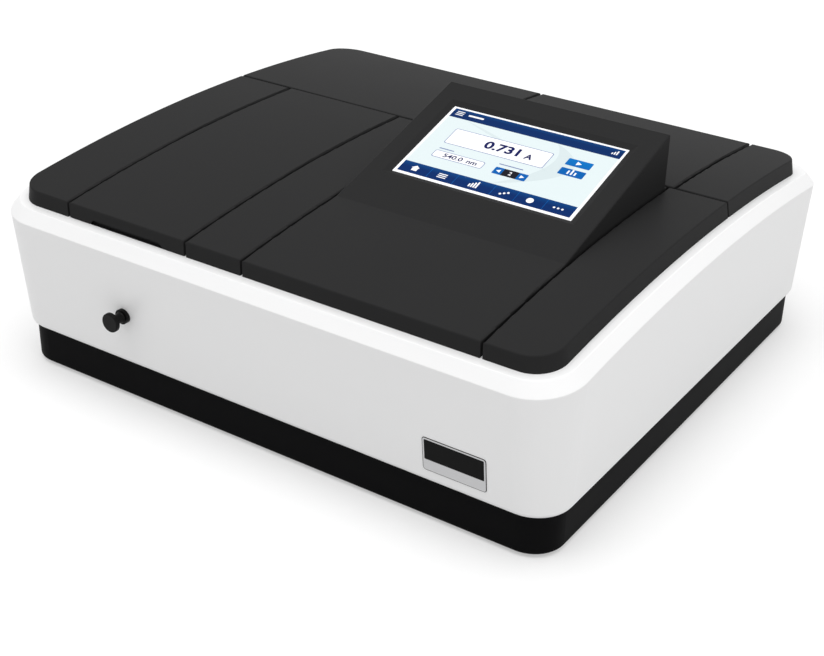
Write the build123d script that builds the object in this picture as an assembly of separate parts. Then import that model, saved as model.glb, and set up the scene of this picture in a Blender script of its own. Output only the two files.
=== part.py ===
from build123d import *
import os
from math import acos, atan, atan2, cos, degrees, hypot, pi, radians, sin, sqrt, tan

# Double-beam spectrophotometer, millimetres, +Z up, front towards -Y, left is -X.
# Sizes are written about the middle of the base tray. At the end every piece is shifted along Y,
# so that the origin is on the bench top under the middle of the whole outline.

# Cover strips across the width, seam to seam, from left to right
left_strip = 64.2
lid_strip = 135.0
mid_strip = 61.0
screen_margin = 19.25
right_strip = 56.7
rear_right_strip = 51.2
seam_gap = 2.4

# Cover lengths from front to back: flat front, screen slope, step behind it, rear covers
fold_distance = 129.2
screen_slope = 16.4358
recess_start = 47.0
recess_end = 26.36
wedge_gap = 4.5
rear_length = 179.8

# Screen recess and what sits behind it
recess_width = 193.0
recess_length = 119.0
recess_depth = 5.0
recess_bevel = 7.0
boss_wall = 3.0
glass_margin = 4.0
glass_thick = 2.0
lcd_thick = 6.0
lcd_margin = 2.0
clip_wall = 1.6
clip_gap = 0.3
clip_lap = 15.0
board_thick = 1.6
board_margin = 10.0

# Feet and base tray
foot_stand = 3.0
foot_sink = 2.0
foot_radius = 14.0
foot_gap = 0.2
foot_inset = 42.0
tray_height = 37.3
tray_wall = 3.0
tray_corner = 29.0
tray_edge = 3.0
vent_slots = 9
vent_slot_width = 3.2
vent_slot_length = 70.0
vent_slot_pitch = 9.0

# White main shell, drafted outwards towards its shoulder
shell_outset = 4.3
shell_wall = 3.5
shell_flange = 8.0
low_corner = 33.0
corner_growth = 0.09
side_draft = 0.0457
front_draft = 0.115
back_draft = 0.0786
shoulder_chamfer = 10.0
shoulder_soft = 1.2
low_edge = 5.0
ledge_width = 10.0
ledge_thick = 4.0

# The arch that every cover follows
arch_radius = 1925.0
crest_y = -2.0
crest_height = 194.7
arch_sweep = 10.0

# Black covers
cover_side_shelf = 10.4
cover_front_overhang = 1.2
cover_back_shelf = 15.2
cover_lip = 14.4
cover_flare = 2.8
cover_corner = 28.0
cover_wall = 3.0
cover_edge = 1.4
rim_wall = 2.5
rim_gap = 0.4
lid_gap = 0.4
wedge_edge = 1.6
notch_low_half = 43.3
notch_top_half = 38.0
notch_high = 4.8

# Steel rails under the seams
rail_thick = 5.0
seam_rail = 12.0
rail_end_gap = 2.0

# Optical bench, its posts and screws
bench_stand = 52.0
bench_thick = 8.0
bench_rib = 6.0
bench_rib_width = 6.0
bench_corner = 8.0
bench_side_gap = 12.6
bench_front_gap = 19.2
bench_back_gap = 23.8
bench_margin = 22.0
bench_reach = 24.7
bench_lap = 24.0
bench_front_margin = 10.0
post_radius = 7.0
post_foot = 4.0
screw_radius = 4.2
screw_high = 5.0
socket_radius = 2.4
beam_height = 41.0

# Sample compartment
tub_clear = 2.0
tub_front_gap = 12.2
tub_back_gap = 23.0
tub_wall = 2.5
tub_drop = 9.0
tub_rim = 6.0
tub_corner = 4.0
seal_height = 3.7
seal_width = 4.4
seal_rib = 2.0
port_radius = 7.0
window_radius = 9.5
window_thick = 2.0

# Cell carriage, rail and pull rod
cells = 4
cell_pitch = 22.0
cell_size = 12.6
cell_wall = 4.0
cell_end = 6.0
cell_below_beam = 15.0
cell_above_beam = 11.0
cell_edge = 1.5
light_slot = 8.0
slot_sill = 4.0
carriage_room = 41.7
reference_gap = 24.4
holder_foot = 8.0
holder_foot_thick = 4.0
rail_gap = 0.3
rail_drop = 10.0
rail_spare = 3.0
rail_ridge = 4.0
rail_ridge_width = 8.0
rail_width = 20.0
rod_height = 90.0
rod_radius = 3.0
rod_fit = 0.06
bushing_radius = 6.0
bushing_flange_radius = 7.0
bushing_flange = 4.0
knob_gap = 0.6
knob_radius = 9.0
knob_neck = 4.6
knob_length = 14.0
knob_head = 4.2
knob_round = 1.2

# Lid hinge
hinge_drop = 8.0
hinge_back = 9.0
hinge_clear = 0.8
knuckle_radius = 5.0
knuckle_length = 14.0
knuckle_inset = 24.0
ear_thick = 3.0
ear_radius = 4.5
ear_gap = 0.4
ear_neck = 12.0
ear_root = 22.0
plate_depth = 32.0
hinge_pin_radius = 2.0
hinge_pin_end = 0.8
hinge_fit = 0.05

# Monochromator
mono_left_gap = 2.0
mono_width = 190.0
mono_front_room = 36.0
mono_back_room = 38.0
mono_wall = 3.0
mono_height = 88.0
mono_cover_skirt = 8.0
mono_cover_thick = 2.0
mono_cover_gap = 0.3
slit_from_back = 110.8
slit_plate_half = 12.0
slit_thick = 3.0
slit_width = 1.6
slit_high = 12.0
slit_hole = 6.0
mirror_inset = 28.0
mirror_radius = 24.0
mirror_curve = 260.0
mirror_size = 30.0
mirror_thick = 3.0
mirror_foot = 5.0
grating_inset = 32.0
grating_shaft = 4.0
grating_width = 30.0
grating_high = 32.0
grating_thick = 8.0
grating_back = 6.0
grating_travel = 35.0
table_radius = 20.0
table_thick = 4.0
bearing_wall = 4.0
bearing_flange = 3.0
bearing_flange_thick = 1.5
shaft_fit = 0.03
gear_module = 1.0
gear_teeth = 75
pinion_teeth = 15
spare_teeth = 2
gear_thick = 5.0
gear_slack = 0.12
gear_level = 6.0
gear_rim = 7.0
gear_arm = 9.0
gear_hub_wall = 6.0
gear_hub_high = 3.0
motor_side = 35.0
motor_high = 30.0
motor_shaft = 2.5
motor_boss = 9.0
motor_boss_high = 2.0
motor_edge = 3.0

# Lamp house, lamps, source mirror and filter wheel
source_offset = 7.5
house_left_room = 85.0
house_right_room = 65.0
house_front_room = 32.0
house_back_room = 86.0
house_high = 100.0
house_wall = 1.5
house_port = 10.0
louvres = 8
louvre_pitch = 14.0
louvre_width = 6.0
louvre_margin = 25.0
lamp_distance = 62.0
tungsten_angle = 60.0
socket_high = 8.0
deuterium_radius = 13.0
tungsten_radius = 5.0
source_glass = 14.0
source_curve = 90.0
wheel_gap = 26.0
wheel_radius = 30.0
wheel_thick = 4.0
wheel_hub = 6.0
wheel_shaft = 2.0
filter_ring = 22.0
filter_radius = 6.5
filter_thick = 2.0
filters = 6
filter_motor_radius = 11.0
filter_motor_length = 19.0
bracket_thick = 3.0
bracket_leg = 8.0

# Detectors, boards and power supply
detector_gap = 1.0
detector_half = 18.0
detector_length = 34.0
detector_high = 20.0
detector_tube = 11.0
detector_bore = 8.0
preamp_margin = 8.0
preamp_width = 48.0
preamp_front = 33.0
preamp_back = 32.0
main_board_width = 138.0
main_board_depth = 126.0
main_board_gap = 14.0
main_board_front = 30.0
pillar_radius = 3.0
pillar_inset = 5.0
supply_side_gap = 22.6
supply_width = 150.0
supply_depth = 98.0
supply_high = 42.0
supply_behind = 32.0
supply_slots = 12

# Back wall
rear_panel_inset = 49.6
rear_panel_high = 96.0
rear_panel_thick = 2.0
rear_panel_margin = 8.0
rear_panel_lift = 8.0
fan_size = 80.0
fan_depth = 25.0
fan_bore = 38.0
fan_hub = 17.0
fan_tip_gap = 1.0
fan_corner = 5.0
fan_blades = 7
fan_pitch_angle = 38.0
fan_strut = 4.0
fan_axle = 1.5
guard_wire = 0.9
guard_radius = 36.0
inlet_inset = 43.0
inlet_width = 27.0
inlet_high = 19.6
inlet_wall = 1.3
inlet_depth = 26.0
inlet_flange_width = 48.0
inlet_flange = 2.4
switch_spacing = 46.0
switch_width = 13.0
switch_high = 21.0
switch_wall = 1.0
rocker_tilt = 7.0
rocker_pivot = 0.9
pivot_depth = 1.0
fuse_spacing = 34.0
fuse_radius = 6.0
serial_spacing = 42.0
serial_width = 16.6
serial_high = 9.0
usb_b_spacing = 30.0
usb_b_size = 12.4
usb_a_spacing = 26.0
usb_a_width = 13.0
usb_a_high = 6.0
cutout_gap = 0.2
panel_screw = 2.9

# Outline, from the cover strips and lengths
screen_strip = recess_width + 2 * screen_margin
cover_half = (left_strip + lid_strip + mid_strip + screen_strip + right_strip) / 2
tray_width = 2 * (cover_half + cover_side_shelf)
wedge_length = recess_start + recess_length + recess_end
wedge_run = wedge_length * cos(radians(screen_slope))
cover_length = fold_distance + wedge_run + wedge_gap + rear_length
tray_depth = cover_length + cover_back_shelf - cover_front_overhang
cover_front = tray_depth / 2 + cover_front_overhang
cover_back = tray_depth / 2 - cover_back_shelf
seam_left = left_strip - cover_half
seam_lid = seam_left + lid_strip
seam_mid = seam_lid + mid_strip
seam_right = cover_half - right_strip
seam_rear_right = cover_half - rear_right_strip
fold_y = fold_distance - cover_front
wedge_back_y = fold_y + wedge_run
seam_cross = wedge_back_y + wedge_gap

# Levels
tray_floor = foot_stand + tray_wall
tray_top = foot_stand + tray_height
crest_z = foot_stand + crest_height
arch_axis_z = crest_z - arch_radius
bench_top = bench_stand + bench_thick
beam_z = bench_top + beam_height
rod_z = foot_stand + rod_height

# Places of the compartment and of the light path
shell_front_y = -(tray_depth / 2 + shell_outset)
lid_left = seam_left + seam_gap / 2
lid_right = seam_lid - seam_gap / 2
lid_middle = (lid_left + lid_right) / 2
tub_left = lid_left + rim_wall + tub_clear
tub_right = lid_right - rim_wall - tub_clear
tub_front = tub_front_gap - cover_front
tub_back = seam_cross - tub_back_gap
cell_half = cell_size / 2
travel = (cells - 1) * cell_pitch
carriage_front = tub_front + carriage_room + travel
sample_y = carriage_front + cell_end + cell_half
carriage_back = sample_y + travel + cell_half + cell_end
reference_y = carriage_back + reference_gap + cell_end + cell_half
entrance_y = cover_back - slit_from_back
mono_left = seam_mid + mono_left_gap
mono_right = mono_left + mono_width
mono_front = reference_y - mono_front_room
mono_back = entrance_y + mono_back_room
mirror_x = mono_right - mirror_inset
grating_x = mono_left + grating_inset
grating_y = (entrance_y + reference_y) / 2
source_x = lid_middle - source_offset
house_left = source_x - house_left_room
house_right = source_x + house_right_room
house_front = entrance_y - house_front_room
house_back = entrance_y + house_back_room
wheel_x = mono_left - wheel_gap
wheel_z = beam_z + filter_ring
bench_left = bench_side_gap - tray_width / 2
bench_right = mono_right + bench_margin
bench_front = bench_front_gap - cover_front
bench_back = cover_back - bench_back_gap
bench_step = tub_right + bench_reach
bench_right_front = mono_front - bench_front_margin

# Places on the back wall
rear_panel_width = tray_width - 2 * rear_panel_inset
fan_x = source_x
inlet_x = rear_panel_width / 2 - inlet_inset
switch_x = inlet_x - switch_spacing
fuse_x = switch_x - fuse_spacing
serial_x = fuse_x - serial_spacing
usb_b_x = serial_x - usb_b_spacing
usb_a_x = usb_b_x - usb_a_spacing

# How far a cutter runs past what it cuts, and a size larger than the whole part
overcut = 1.0
far = 400.0


def arch_z(y, drop=0.0):
    """Height of the arch at y, with drop below the covers' top."""
    return arch_axis_z + sqrt((arch_radius - drop) ** 2 - (y - crest_y) ** 2)


hinge_y = seam_cross - seam_gap / 2 - hinge_back
hinge_z = arch_z(hinge_y) - hinge_drop
hinge_reach = hypot(hinge_back, hinge_drop)


def block(x0, x1, y0, y1, z0, z1):
    """A box between two corners."""
    middle = Pos((x0 + x1) / 2, (y0 + y1) / 2, (z0 + z1) / 2)
    return middle * Box(x1 - x0, y1 - y0, z1 - z0)


def rod_along_x(x0, x1, y, z, radius):
    return Pos((x0 + x1) / 2, y, z) * Rot(0, 90, 0) * Cylinder(radius, x1 - x0)


def rod_along_y(x, y0, y1, z, radius):
    return Pos(x, (y0 + y1) / 2, z) * Rot(90, 0, 0) * Cylinder(radius, y1 - y0)


def rod_along_z(x, y, z0, z1, radius):
    return Pos(x, y, (z0 + z1) / 2) * Cylinder(radius, z1 - z0)


def tube_along_z(x, y, z0, z1, radius, bore):
    return rod_along_z(x, y, z0, z1, radius) - rod_along_z(x, y, z0, z1, bore)


def rounded_block(x0, x1, y0, y1, z0, z1, corner):
    """A box with its upright edges rounded."""
    outline = Pos((x0 + x1) / 2, (y0 + y1) / 2, z0) * RectangleRounded(x1 - x0, y1 - y0, corner)
    return extrude(outline, z1 - z0)


def group(*pieces):
    """Separate solids that share one node."""
    return Compound([solid for piece in pieces for solid in piece.solids()])


def under_arch(drop):
    """Everything below the arch, lowered by drop."""
    return rod_along_x(-far, far, crest_y, arch_axis_z, arch_radius - drop)


def arch_face(solid):
    """The arched top of a piece: the higher of its two largest faces."""
    return solid.faces().sort_by(SortBy.AREA)[-2:].sort_by(Axis.Z)[-1]


# Base: tray, feet, vents and posts

def make_feet():
    half_x = tray_width / 2 - foot_inset
    half_y = tray_depth / 2 - foot_inset
    pads = []
    for x in (-half_x, half_x):
        for y in (-half_y, half_y):
            pad = rod_along_z(x, y, 0, foot_stand + foot_sink, foot_radius)
            pads.append(chamfer(pad.edges().group_by(Axis.Z)[0], foot_stand / 3))
    return group(*pads)


def make_base_tray():
    outline = Pos(0, 0, foot_stand) * RectangleRounded(tray_width, tray_depth, tray_corner)
    tray = extrude(outline, tray_height)
    tray = fillet(tray.edges().group_by(Axis.Z)[0], tray_edge)
    hollow = RectangleRounded(tray_width - 2 * tray_wall, tray_depth - 2 * tray_wall,
                              tray_corner - tray_wall)
    tray -= extrude(Pos(0, 0, tray_floor) * hollow, tray_height)
    half_x = tray_width / 2 - foot_inset
    half_y = tray_depth / 2 - foot_inset
    for x in (-half_x, half_x):
        for y in (-half_y, half_y):
            tray += rod_along_z(x, y, tray_floor, tray_floor + foot_sink, foot_radius + tray_wall)
            tray -= rod_along_z(x, y, 0, foot_stand + foot_sink, foot_radius + foot_gap)
    for side in (-1, 1):
        for k in range(vent_slots):
            x = side * tray_width / 4 + (k - (vent_slots - 1) / 2) * vent_slot_pitch
            slot = SlotOverall(vent_slot_length, vent_slot_width, rotation=90)
            tray -= extrude(Pos(x, 0, 0) * slot, tray_floor + overcut)
    for x, y in bench_post_places():
        tray += rod_along_z(x, y, tray_floor, bench_stand - bench_rib, post_radius)
        tray += rod_along_z(x, y, tray_floor, tray_floor + post_foot, post_radius + post_foot)
    return tray


def bench_post_places():
    """Where the optical bench stands on the tray's posts: left, middle and right pairs."""
    inset = 2 * post_radius
    left, inner, right = bench_left + inset + 3, bench_step - post_radius - 1, bench_right - inset - 1
    front, back = bench_front + inset + 2, bench_back - inset
    return [(left, front), (left, back), (inner, front), (inner, back),
            (right, bench_right_front + inset + 4), (right, back)]


# White main shell

def shell_section(z, inset):
    """Outline of the shell at a height, drawn in by inset."""
    rise = z - tray_top
    half = tray_width / 2 + shell_outset + side_draft * rise - inset
    front = tray_depth / 2 + shell_outset + front_draft * rise - inset
    back = tray_depth / 2 + shell_outset + back_draft * rise - inset
    corner = low_corner + corner_growth * rise - inset
    return Pos(0, (back - front) / 2, z) * RectangleRounded(2 * half, front + back, corner)


def shell_form(inset, z0, drop):
    """The drafted, arched and chamfered block that the shell is cut from."""
    form = loft([shell_section(z0, inset), shell_section(crest_z, inset)], ruled=True)
    form &= under_arch(drop)
    top = form.faces().filter_by(GeomType.CYLINDER).sort_by(SortBy.AREA)[-1]
    return chamfer(top.edges(), shoulder_chamfer)


rear_tilt = degrees(atan(back_draft))
rear_z = tray_top + shell_wall + rear_panel_lift + rear_panel_high / 2
rear_y = tray_depth / 2 + shell_outset - shell_wall + back_draft * (rear_z - tray_top)
rear_plane = Plane(origin=(0, rear_y, rear_z), x_dir=(-1, 0, 0),
                   z_dir=(0, cos(radians(rear_tilt)), -sin(radians(rear_tilt))))


def on_rear(x, solid, up=0.0):
    """Put a piece made about the local origin on the back wall at x, outwards along its +Z."""
    return rear_plane.location * Pos(-x, up, 0) * solid


def cover_opening(inset, z0, z1):
    """The space inside the ledge that carries the covers' lips."""
    half = cover_half + cover_flare - ledge_width - inset
    return rounded_block(-half, half, -cover_front + ledge_width + inset,
                         cover_back - ledge_width - inset, z0, z1, cover_corner - ledge_width)


def make_main_shell():
    outer = shell_form(0, tray_top, cover_lip)
    outer = fillet(outer.edges().group_by(Axis.Z)[0], low_edge)
    crown = outer.edges().filter_by(lambda e: e.bounding_box().min.Z > crest_z / 2
                                    and e.length > 2 * shoulder_chamfer)
    outer = fillet(crown, shoulder_soft)
    inner = shell_form(shell_wall, tray_top + shell_wall, cover_lip + ledge_thick)
    shell = outer - inner - cover_opening(0, crest_z / 2, crest_z)
    bottom = RectangleRounded(tray_width - 2 * shell_flange, tray_depth - 2 * shell_flange,
                              tray_corner - shell_flange)
    shell -= extrude(Pos(0, 0, tray_top - overcut) * bottom, shell_wall + 2 * overcut)
    shell -= rod_along_y(lid_middle, shell_front_y - far / 10, tub_front - overcut, rod_z,
                        bushing_radius)
    window = RectangleRounded(rear_panel_width - 2 * rear_panel_margin,
                              rear_panel_high - 2 * rear_panel_margin, rear_panel_margin)
    shell -= on_rear(0, extrude(Pos(0, 0, -1) * window, 3 * shell_wall))
    return shell


# Black covers

def cover_form(inset, drop):
    """All covers as one arched block with flared sides and round corners."""
    top = cover_half - inset
    foot = top + cover_flare * drop / cover_lip
    high = arch_radius - inset
    low = arch_radius - drop
    profile = Polyline((-top, 0, high), (top, 0, high), (foot, 0, low), (-foot, 0, low), close=True)
    face = make_face(profile).rotate(Axis.X, arch_sweep).moved(Location((0, crest_y, arch_axis_z)))
    ring = revolve(face, Axis((0, crest_y, arch_axis_z), (1, 0, 0)), -2 * arch_sweep)
    ring &= block(-far, far, -cover_front + inset, cover_back - inset, 0, far)
    uprights = ring.edges().filter_by(lambda e: e.bounding_box().size.Z > drop / 2
                                      and e.bounding_box().size.Y < cover_wall
                                      and e.bounding_box().size.X < cover_flare * 4)
    return fillet(uprights, cover_corner - inset)


lip_block = cover_form(0, cover_lip)
rim_block = cover_form(0, cover_lip + ledge_thick) & cover_opening(rim_gap, 0, far)
cavity_block = cover_form(cover_wall, cover_lip + 4 * ledge_thick)


def cover_shell(x0, x1, y0, y1, depth_block=None):
    """One cover: a shallow arched tray between its seams, open below."""
    cell = block(x0, x1, y0, y1, 0, far)
    piece = lip_block & cell
    piece = fillet(arch_face(piece).edges(), cover_edge)
    if depth_block is not None:
        piece += depth_block & cell & under_arch(cover_wall)
    inset = [rim_wall if abs(v) < far else 0 for v in (x0, x1, y0, y1)]
    room = block(x0 + inset[0], x1 - inset[1], y0 + inset[2], y1 - inset[3], 0, far)
    return piece - (cavity_block & room)


def lid_swing():
    """The space that the lid's curved heel turns in, with its clearance."""
    return rod_along_x(lid_left - overcut, lid_right + overcut, hinge_y, hinge_z,
                       hinge_reach + hinge_clear)


def make_side_covers():
    half = seam_gap / 2
    front, back = -far, far
    cross_front, cross_back = seam_cross - half, seam_cross + half
    rear_left = cover_shell(-far, seam_mid - half, cross_back, back, rim_block)
    return {
        "left_cover": cover_shell(-far, seam_left - half, front, cross_front, rim_block),
        "mid_cover": cover_shell(seam_lid + half, seam_mid - half, front, cross_front, rim_block),
        "right_cover": cover_shell(seam_right + half, far, front, cross_front, rim_block),
        "rear_left_cover": rear_left - lid_swing(),
        "rear_center_cover": cover_shell(seam_mid + half, seam_rear_right - half,
                                         cross_back, back, rim_block),
        "rear_right_cover": cover_shell(seam_rear_right + half, far, cross_back, back, rim_block),
    }


def hinge_places():
    return (lid_left + knuckle_inset, lid_right - knuckle_inset)


def make_sample_lid():
    """Hinged lid with a curved heel at the hinge, knuckles, a seal rib and a finger notch."""
    cell = block(lid_left, lid_right, -far, hinge_y + hinge_reach, 0, far)
    heel = rod_along_x(lid_left - overcut, lid_right + overcut, hinge_y, hinge_z, hinge_reach)
    reach = heel + block(lid_left - overcut, lid_right + overcut, -far, hinge_y, 0, far)
    lid = lip_block & cell & reach
    lid = fillet(arch_face(lid).edges(), cover_edge)
    room = block(lid_left + rim_wall, lid_right - rim_wall, -far, far, 0, far)
    lid -= cavity_block & room
    # The lip stops short of the ledge, because this cover moves.
    lid &= cover_form(0, cover_lip - lid_gap)
    edge = seal_rib / 2
    rib_outer = block(tub_left + edge, tub_right - edge, tub_front + edge, tub_back - edge, 0, far)
    edge += seal_rib
    rib_inner = block(tub_left + edge, tub_right - edge, tub_front + edge, tub_back - edge, 0, far)
    band = under_arch(cover_wall / 2) - under_arch(cover_wall + seal_rib)
    lid += band & (rib_outer - rib_inner)
    for x in hinge_places():
        half = knuckle_length / 2
        knuckle = rod_along_x(x - half, x + half, hinge_y, hinge_z, knuckle_radius)
        knuckle += block(x - half, x + half, hinge_y - knuckle_radius, hinge_y + knuckle_radius,
                         hinge_z, hinge_z + hinge_drop - cover_wall / 2)
        lid += knuckle
        lid -= rod_along_x(x - half - overcut, x + half + overcut, hinge_y, hinge_z,
                           hinge_pin_radius + hinge_fit)
    return lid - finger_notch()


def finger_notch():
    """Tapered finger gap in the lip's lower edge."""
    low = arch_z(-cover_front, cover_lip)
    face = make_face(Polyline((lid_middle - notch_low_half, 0, low - overcut),
                              (lid_middle + notch_low_half, 0, low - overcut),
                              (lid_middle + notch_low_half, 0, low),
                              (lid_middle + notch_top_half, 0, low + notch_high),
                              (lid_middle - notch_top_half, 0, low + notch_high),
                              (lid_middle - notch_low_half, 0, low), close=True))
    cutter = extrude(face, 4 * cover_wall, both=True)
    return cutter.moved(Location((0, -cover_front, 0)))


# Screen cover: one moulding with the sloped wedge

fold_z = arch_z(fold_y)
wedge_top = fold_z + wedge_length * sin(radians(screen_slope))
screen_left = seam_mid + seam_gap / 2
screen_right = seam_right - seam_gap / 2
screen_x = (screen_left + screen_right) / 2
screen_plane = Plane(origin=(screen_x, fold_y, fold_z), x_dir=(1, 0, 0),
                     z_dir=(0, -sin(radians(screen_slope)), cos(radians(screen_slope))))
recess_middle = recess_start + recess_length / 2


def on_screen(solid):
    """Put a piece made about the middle of the screen recess on the slope, outwards along +Z."""
    return screen_plane.location * Pos(0, recess_middle, 0) * solid


def wedge_form(inset):
    """The wedge above the arch, as a prism across the cover."""
    low = arch_z(fold_y) - 2 * cover_lip
    drop = inset / cos(radians(screen_slope))
    outline = Polyline((0, fold_y, low), (0, fold_y, fold_z - drop),
                       (0, wedge_back_y - inset, wedge_top - drop - inset * tan(radians(screen_slope))),
                       (0, wedge_back_y - inset, low), close=True)
    prism = extrude(make_face(outline), (screen_right - screen_left) / 2 - inset, both=True)
    return prism.moved(Location((screen_x, 0, 0)))


def make_screen_cover():
    lip = lip_block & block(screen_left, screen_right, -far, seam_cross - seam_gap / 2, 0, far)
    lip = fillet(arch_face(lip).edges(), cover_edge)
    rim = rim_block & block(screen_left, screen_right, -far, seam_cross - seam_gap / 2, 0, far)
    wedge = wedge_form(0) - under_arch(cover_wall)
    sharp = wedge.edges().filter_by(lambda e: e.bounding_box().max.Z > wedge_top - wedge_edge / 4)
    wedge = fillet(sharp, wedge_edge)
    room = block(screen_left + rim_wall, screen_right - rim_wall, -far,
                 seam_cross - seam_gap / 2 - rim_wall, 0, far)
    cover = lip + (rim & under_arch(cover_wall)) + wedge
    cover -= cavity_block & room
    cover -= wedge_form(cover_wall)
    boss_top = -cover_wall / 4
    cover += on_screen(Pos(0, 0, (boss_top - recess_depth) / 2)
                       * Box(recess_width + 2 * boss_wall, recess_length + 2 * boss_wall,
                             recess_depth + boss_top))
    mouth = Rectangle(recess_width, recess_length)
    land = Rectangle(recess_width - 2 * recess_bevel, recess_length - 2 * recess_bevel)
    bevel = loft([mouth, Pos(0, 0, -recess_depth * 0.8) * land], ruled=True)
    cover -= on_screen(bevel)
    cover -= on_screen(extrude(Pos(0, 0, -2 * recess_depth) * land, 2 * recess_depth))
    return cover


def make_display():
    """Touch glass, panel and its clip frame, stacked behind the recess."""
    glass_w = recess_width - 2 * recess_bevel + 2 * glass_margin
    glass_l = recess_length - 2 * recess_bevel + 2 * glass_margin
    glass_back = -recess_depth - glass_thick
    glass = Pos(0, 0, -recess_depth - glass_thick / 2) * Box(glass_w, glass_l, glass_thick)
    lcd = Pos(0, 0, glass_back - lcd_thick / 2) * Box(glass_w - 2 * lcd_margin,
                                                      glass_l - 2 * lcd_margin, lcd_thick)
    frame_back = glass_back - lcd_thick
    room_w = glass_w + 2 * clip_gap
    room_l = glass_l + 2 * clip_gap
    outline = RectangleRounded(room_w + 2 * clip_wall, room_l + 2 * clip_wall, 2 * clip_wall)
    clip = extrude(Pos(0, 0, frame_back - clip_wall) * outline, clip_wall - frame_back - recess_depth)
    clip -= Pos(0, 0, (frame_back - recess_depth) / 2) * Box(room_w, room_l,
                                                             -frame_back - recess_depth)
    clip -= Pos(0, 0, frame_back) * Box(glass_w - 2 * clip_lap, glass_l - 2 * clip_lap,
                                        4 * clip_wall)
    board_w = glass_w - 2 * board_margin
    board_l = glass_l - 2 * board_margin
    board_top = frame_back - clip_wall
    under = board_top - board_thick
    board = Pos(0, 0, board_top - board_thick / 2) * Box(board_w, board_l, board_thick)
    board += Pos(board_w / 9, board_l / 10, under - board_thick / 2) * Box(board_l / 4, board_l / 4,
                                                                         board_thick)
    board += Pos(-board_w / 5, -board_l / 5, under - board_thick) * Box(board_w / 6, board_l / 12,
                                                                        2 * board_thick)
    return {"touch_glass": on_screen(glass), "lcd_module": on_screen(lcd),
            "display_frame": on_screen(clip), "display_board": on_screen(board)}


def make_cover_frame():
    """Steel rails under the seams, hung below the shell's ledge."""
    top = cover_lip + ledge_thick
    band = under_arch(top) - under_arch(top + rail_thick)
    front = rail_end_gap - cover_front
    back = cover_back - rail_end_gap
    half = seam_rail / 2
    cross_front, cross_back = seam_cross - half / 10, seam_cross + seam_rail
    bars = block(seam_left - half, seam_left + half / 2, front, cross_back, 0, far)
    bars += block(seam_lid - half / 2, seam_lid + half, front, cross_back, 0, far)
    bars += block(seam_mid - half, seam_mid + half, front, back, 0, far)
    bars += block(seam_right - half, seam_right + half, front, cross_back, 0, far)
    bars += block(seam_rear_right - half, seam_rear_right + half, cross_front, back, 0, far)
    bars += block(-cover_half, cover_half, cross_front, cross_back, 0, far)
    return (band & bars) - lid_swing()


# Sample compartment

def tub_outline(inset, z0, z1):
    return rounded_block(tub_left + inset, tub_right - inset, tub_front + inset, tub_back - inset,
                         z0, z1, tub_corner)


def make_compartment_tub():
    tub = tub_outline(0, bench_top, far) & under_arch(tub_drop)
    tub -= tub_outline(tub_wall, bench_top + tub_wall, far) & under_arch(tub_drop + tub_wall)
    tub -= tub_outline(tub_rim, bench_top + tub_wall, far)
    for y in (sample_y, reference_y):
        tub -= rod_along_x(tub_left - overcut, tub_right + overcut, y, beam_z, port_radius)
    tub -= rod_along_y(lid_middle, tub_front - overcut, tub_front + tub_wall + overcut, rod_z,
                       rod_radius + rail_gap)
    return tub


def make_lid_seal():
    edge = (tub_rim - seal_width) / 2
    ring = tub_outline(edge, bench_top, far) - tub_outline(edge + seal_width, bench_top, far)
    return ring & (under_arch(tub_drop - seal_height) - under_arch(tub_drop))


def make_compartment_windows():
    panes = []
    for y in (sample_y, reference_y):
        panes.append(rod_along_x(tub_left - window_thick, tub_left, y, beam_z, window_radius))
        panes.append(rod_along_x(tub_right, tub_right + window_thick, y, beam_z, window_radius))
    return group(*panes)


def make_hinge_bracket():
    """Plate on the tub's back wall with two pairs of ears."""
    plate = block(tub_left + tub_rim, tub_right - tub_rim, tub_back, tub_back + ear_thick,
                  hinge_z - plate_depth, hinge_z - ear_radius)
    for x in hinge_places():
        for side in (-1, 1):
            inner = x + side * (knuckle_length / 2 + ear_gap)
            outer = inner + side * ear_thick
            x0, x1 = min(inner, outer), max(inner, outer)
            ear = rod_along_x(x0, x1, hinge_y, hinge_z, ear_radius)
            ear += block(x0, x1, hinge_y - ear_radius, hinge_y + ear_radius,
                         hinge_z - ear_neck, hinge_z)
            ear += block(x0, x1, tub_back, hinge_y + ear_radius,
                         hinge_z - ear_root, hinge_z - 2 * ear_radius)
            plate += ear
    for x in hinge_places():
        half = knuckle_length / 2 + ear_gap + ear_thick + overcut
        plate -= rod_along_x(x - half, x + half, hinge_y, hinge_z, hinge_pin_radius + hinge_fit / 2)
    return plate


def make_hinge_pins():
    half = knuckle_length / 2 + ear_gap + ear_thick + hinge_pin_end
    return group(*[rod_along_x(x - half, x + half, hinge_y, hinge_z, hinge_pin_radius)
                   for x in hinge_places()])


# Cell carriage and its rail, reference holder, pull rod

pocket_floor = beam_z - cell_below_beam
holder_top = beam_z + cell_above_beam
rail_top = pocket_floor - rail_drop


def cut_cell(holder, y):
    """A square pocket with light slots through both sides, open at the top."""
    holder -= block(lid_middle - cell_half, lid_middle + cell_half, y - cell_half, y + cell_half,
                    pocket_floor, holder_top + overcut)
    return holder - block(lid_middle - far / 10, lid_middle + far / 10, y - light_slot / 2,
                          y + light_slot / 2, pocket_floor + slot_sill, holder_top + overcut)


def make_cell_carriage():
    half = cell_half + cell_wall
    body = block(lid_middle - half, lid_middle + half, carriage_front, carriage_back,
                 rail_top + rail_gap, holder_top)
    body = chamfer(body.edges().filter_by(Axis.Z), cell_edge)
    for k in range(cells):
        body = cut_cell(body, sample_y + k * cell_pitch)
    groove = rail_ridge_width / 2 + rail_gap
    body -= block(lid_middle - groove, lid_middle + groove,
                  carriage_front - overcut, carriage_back + overcut,
                  rail_top, rail_top + rail_ridge + rail_gap)
    return body


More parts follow.
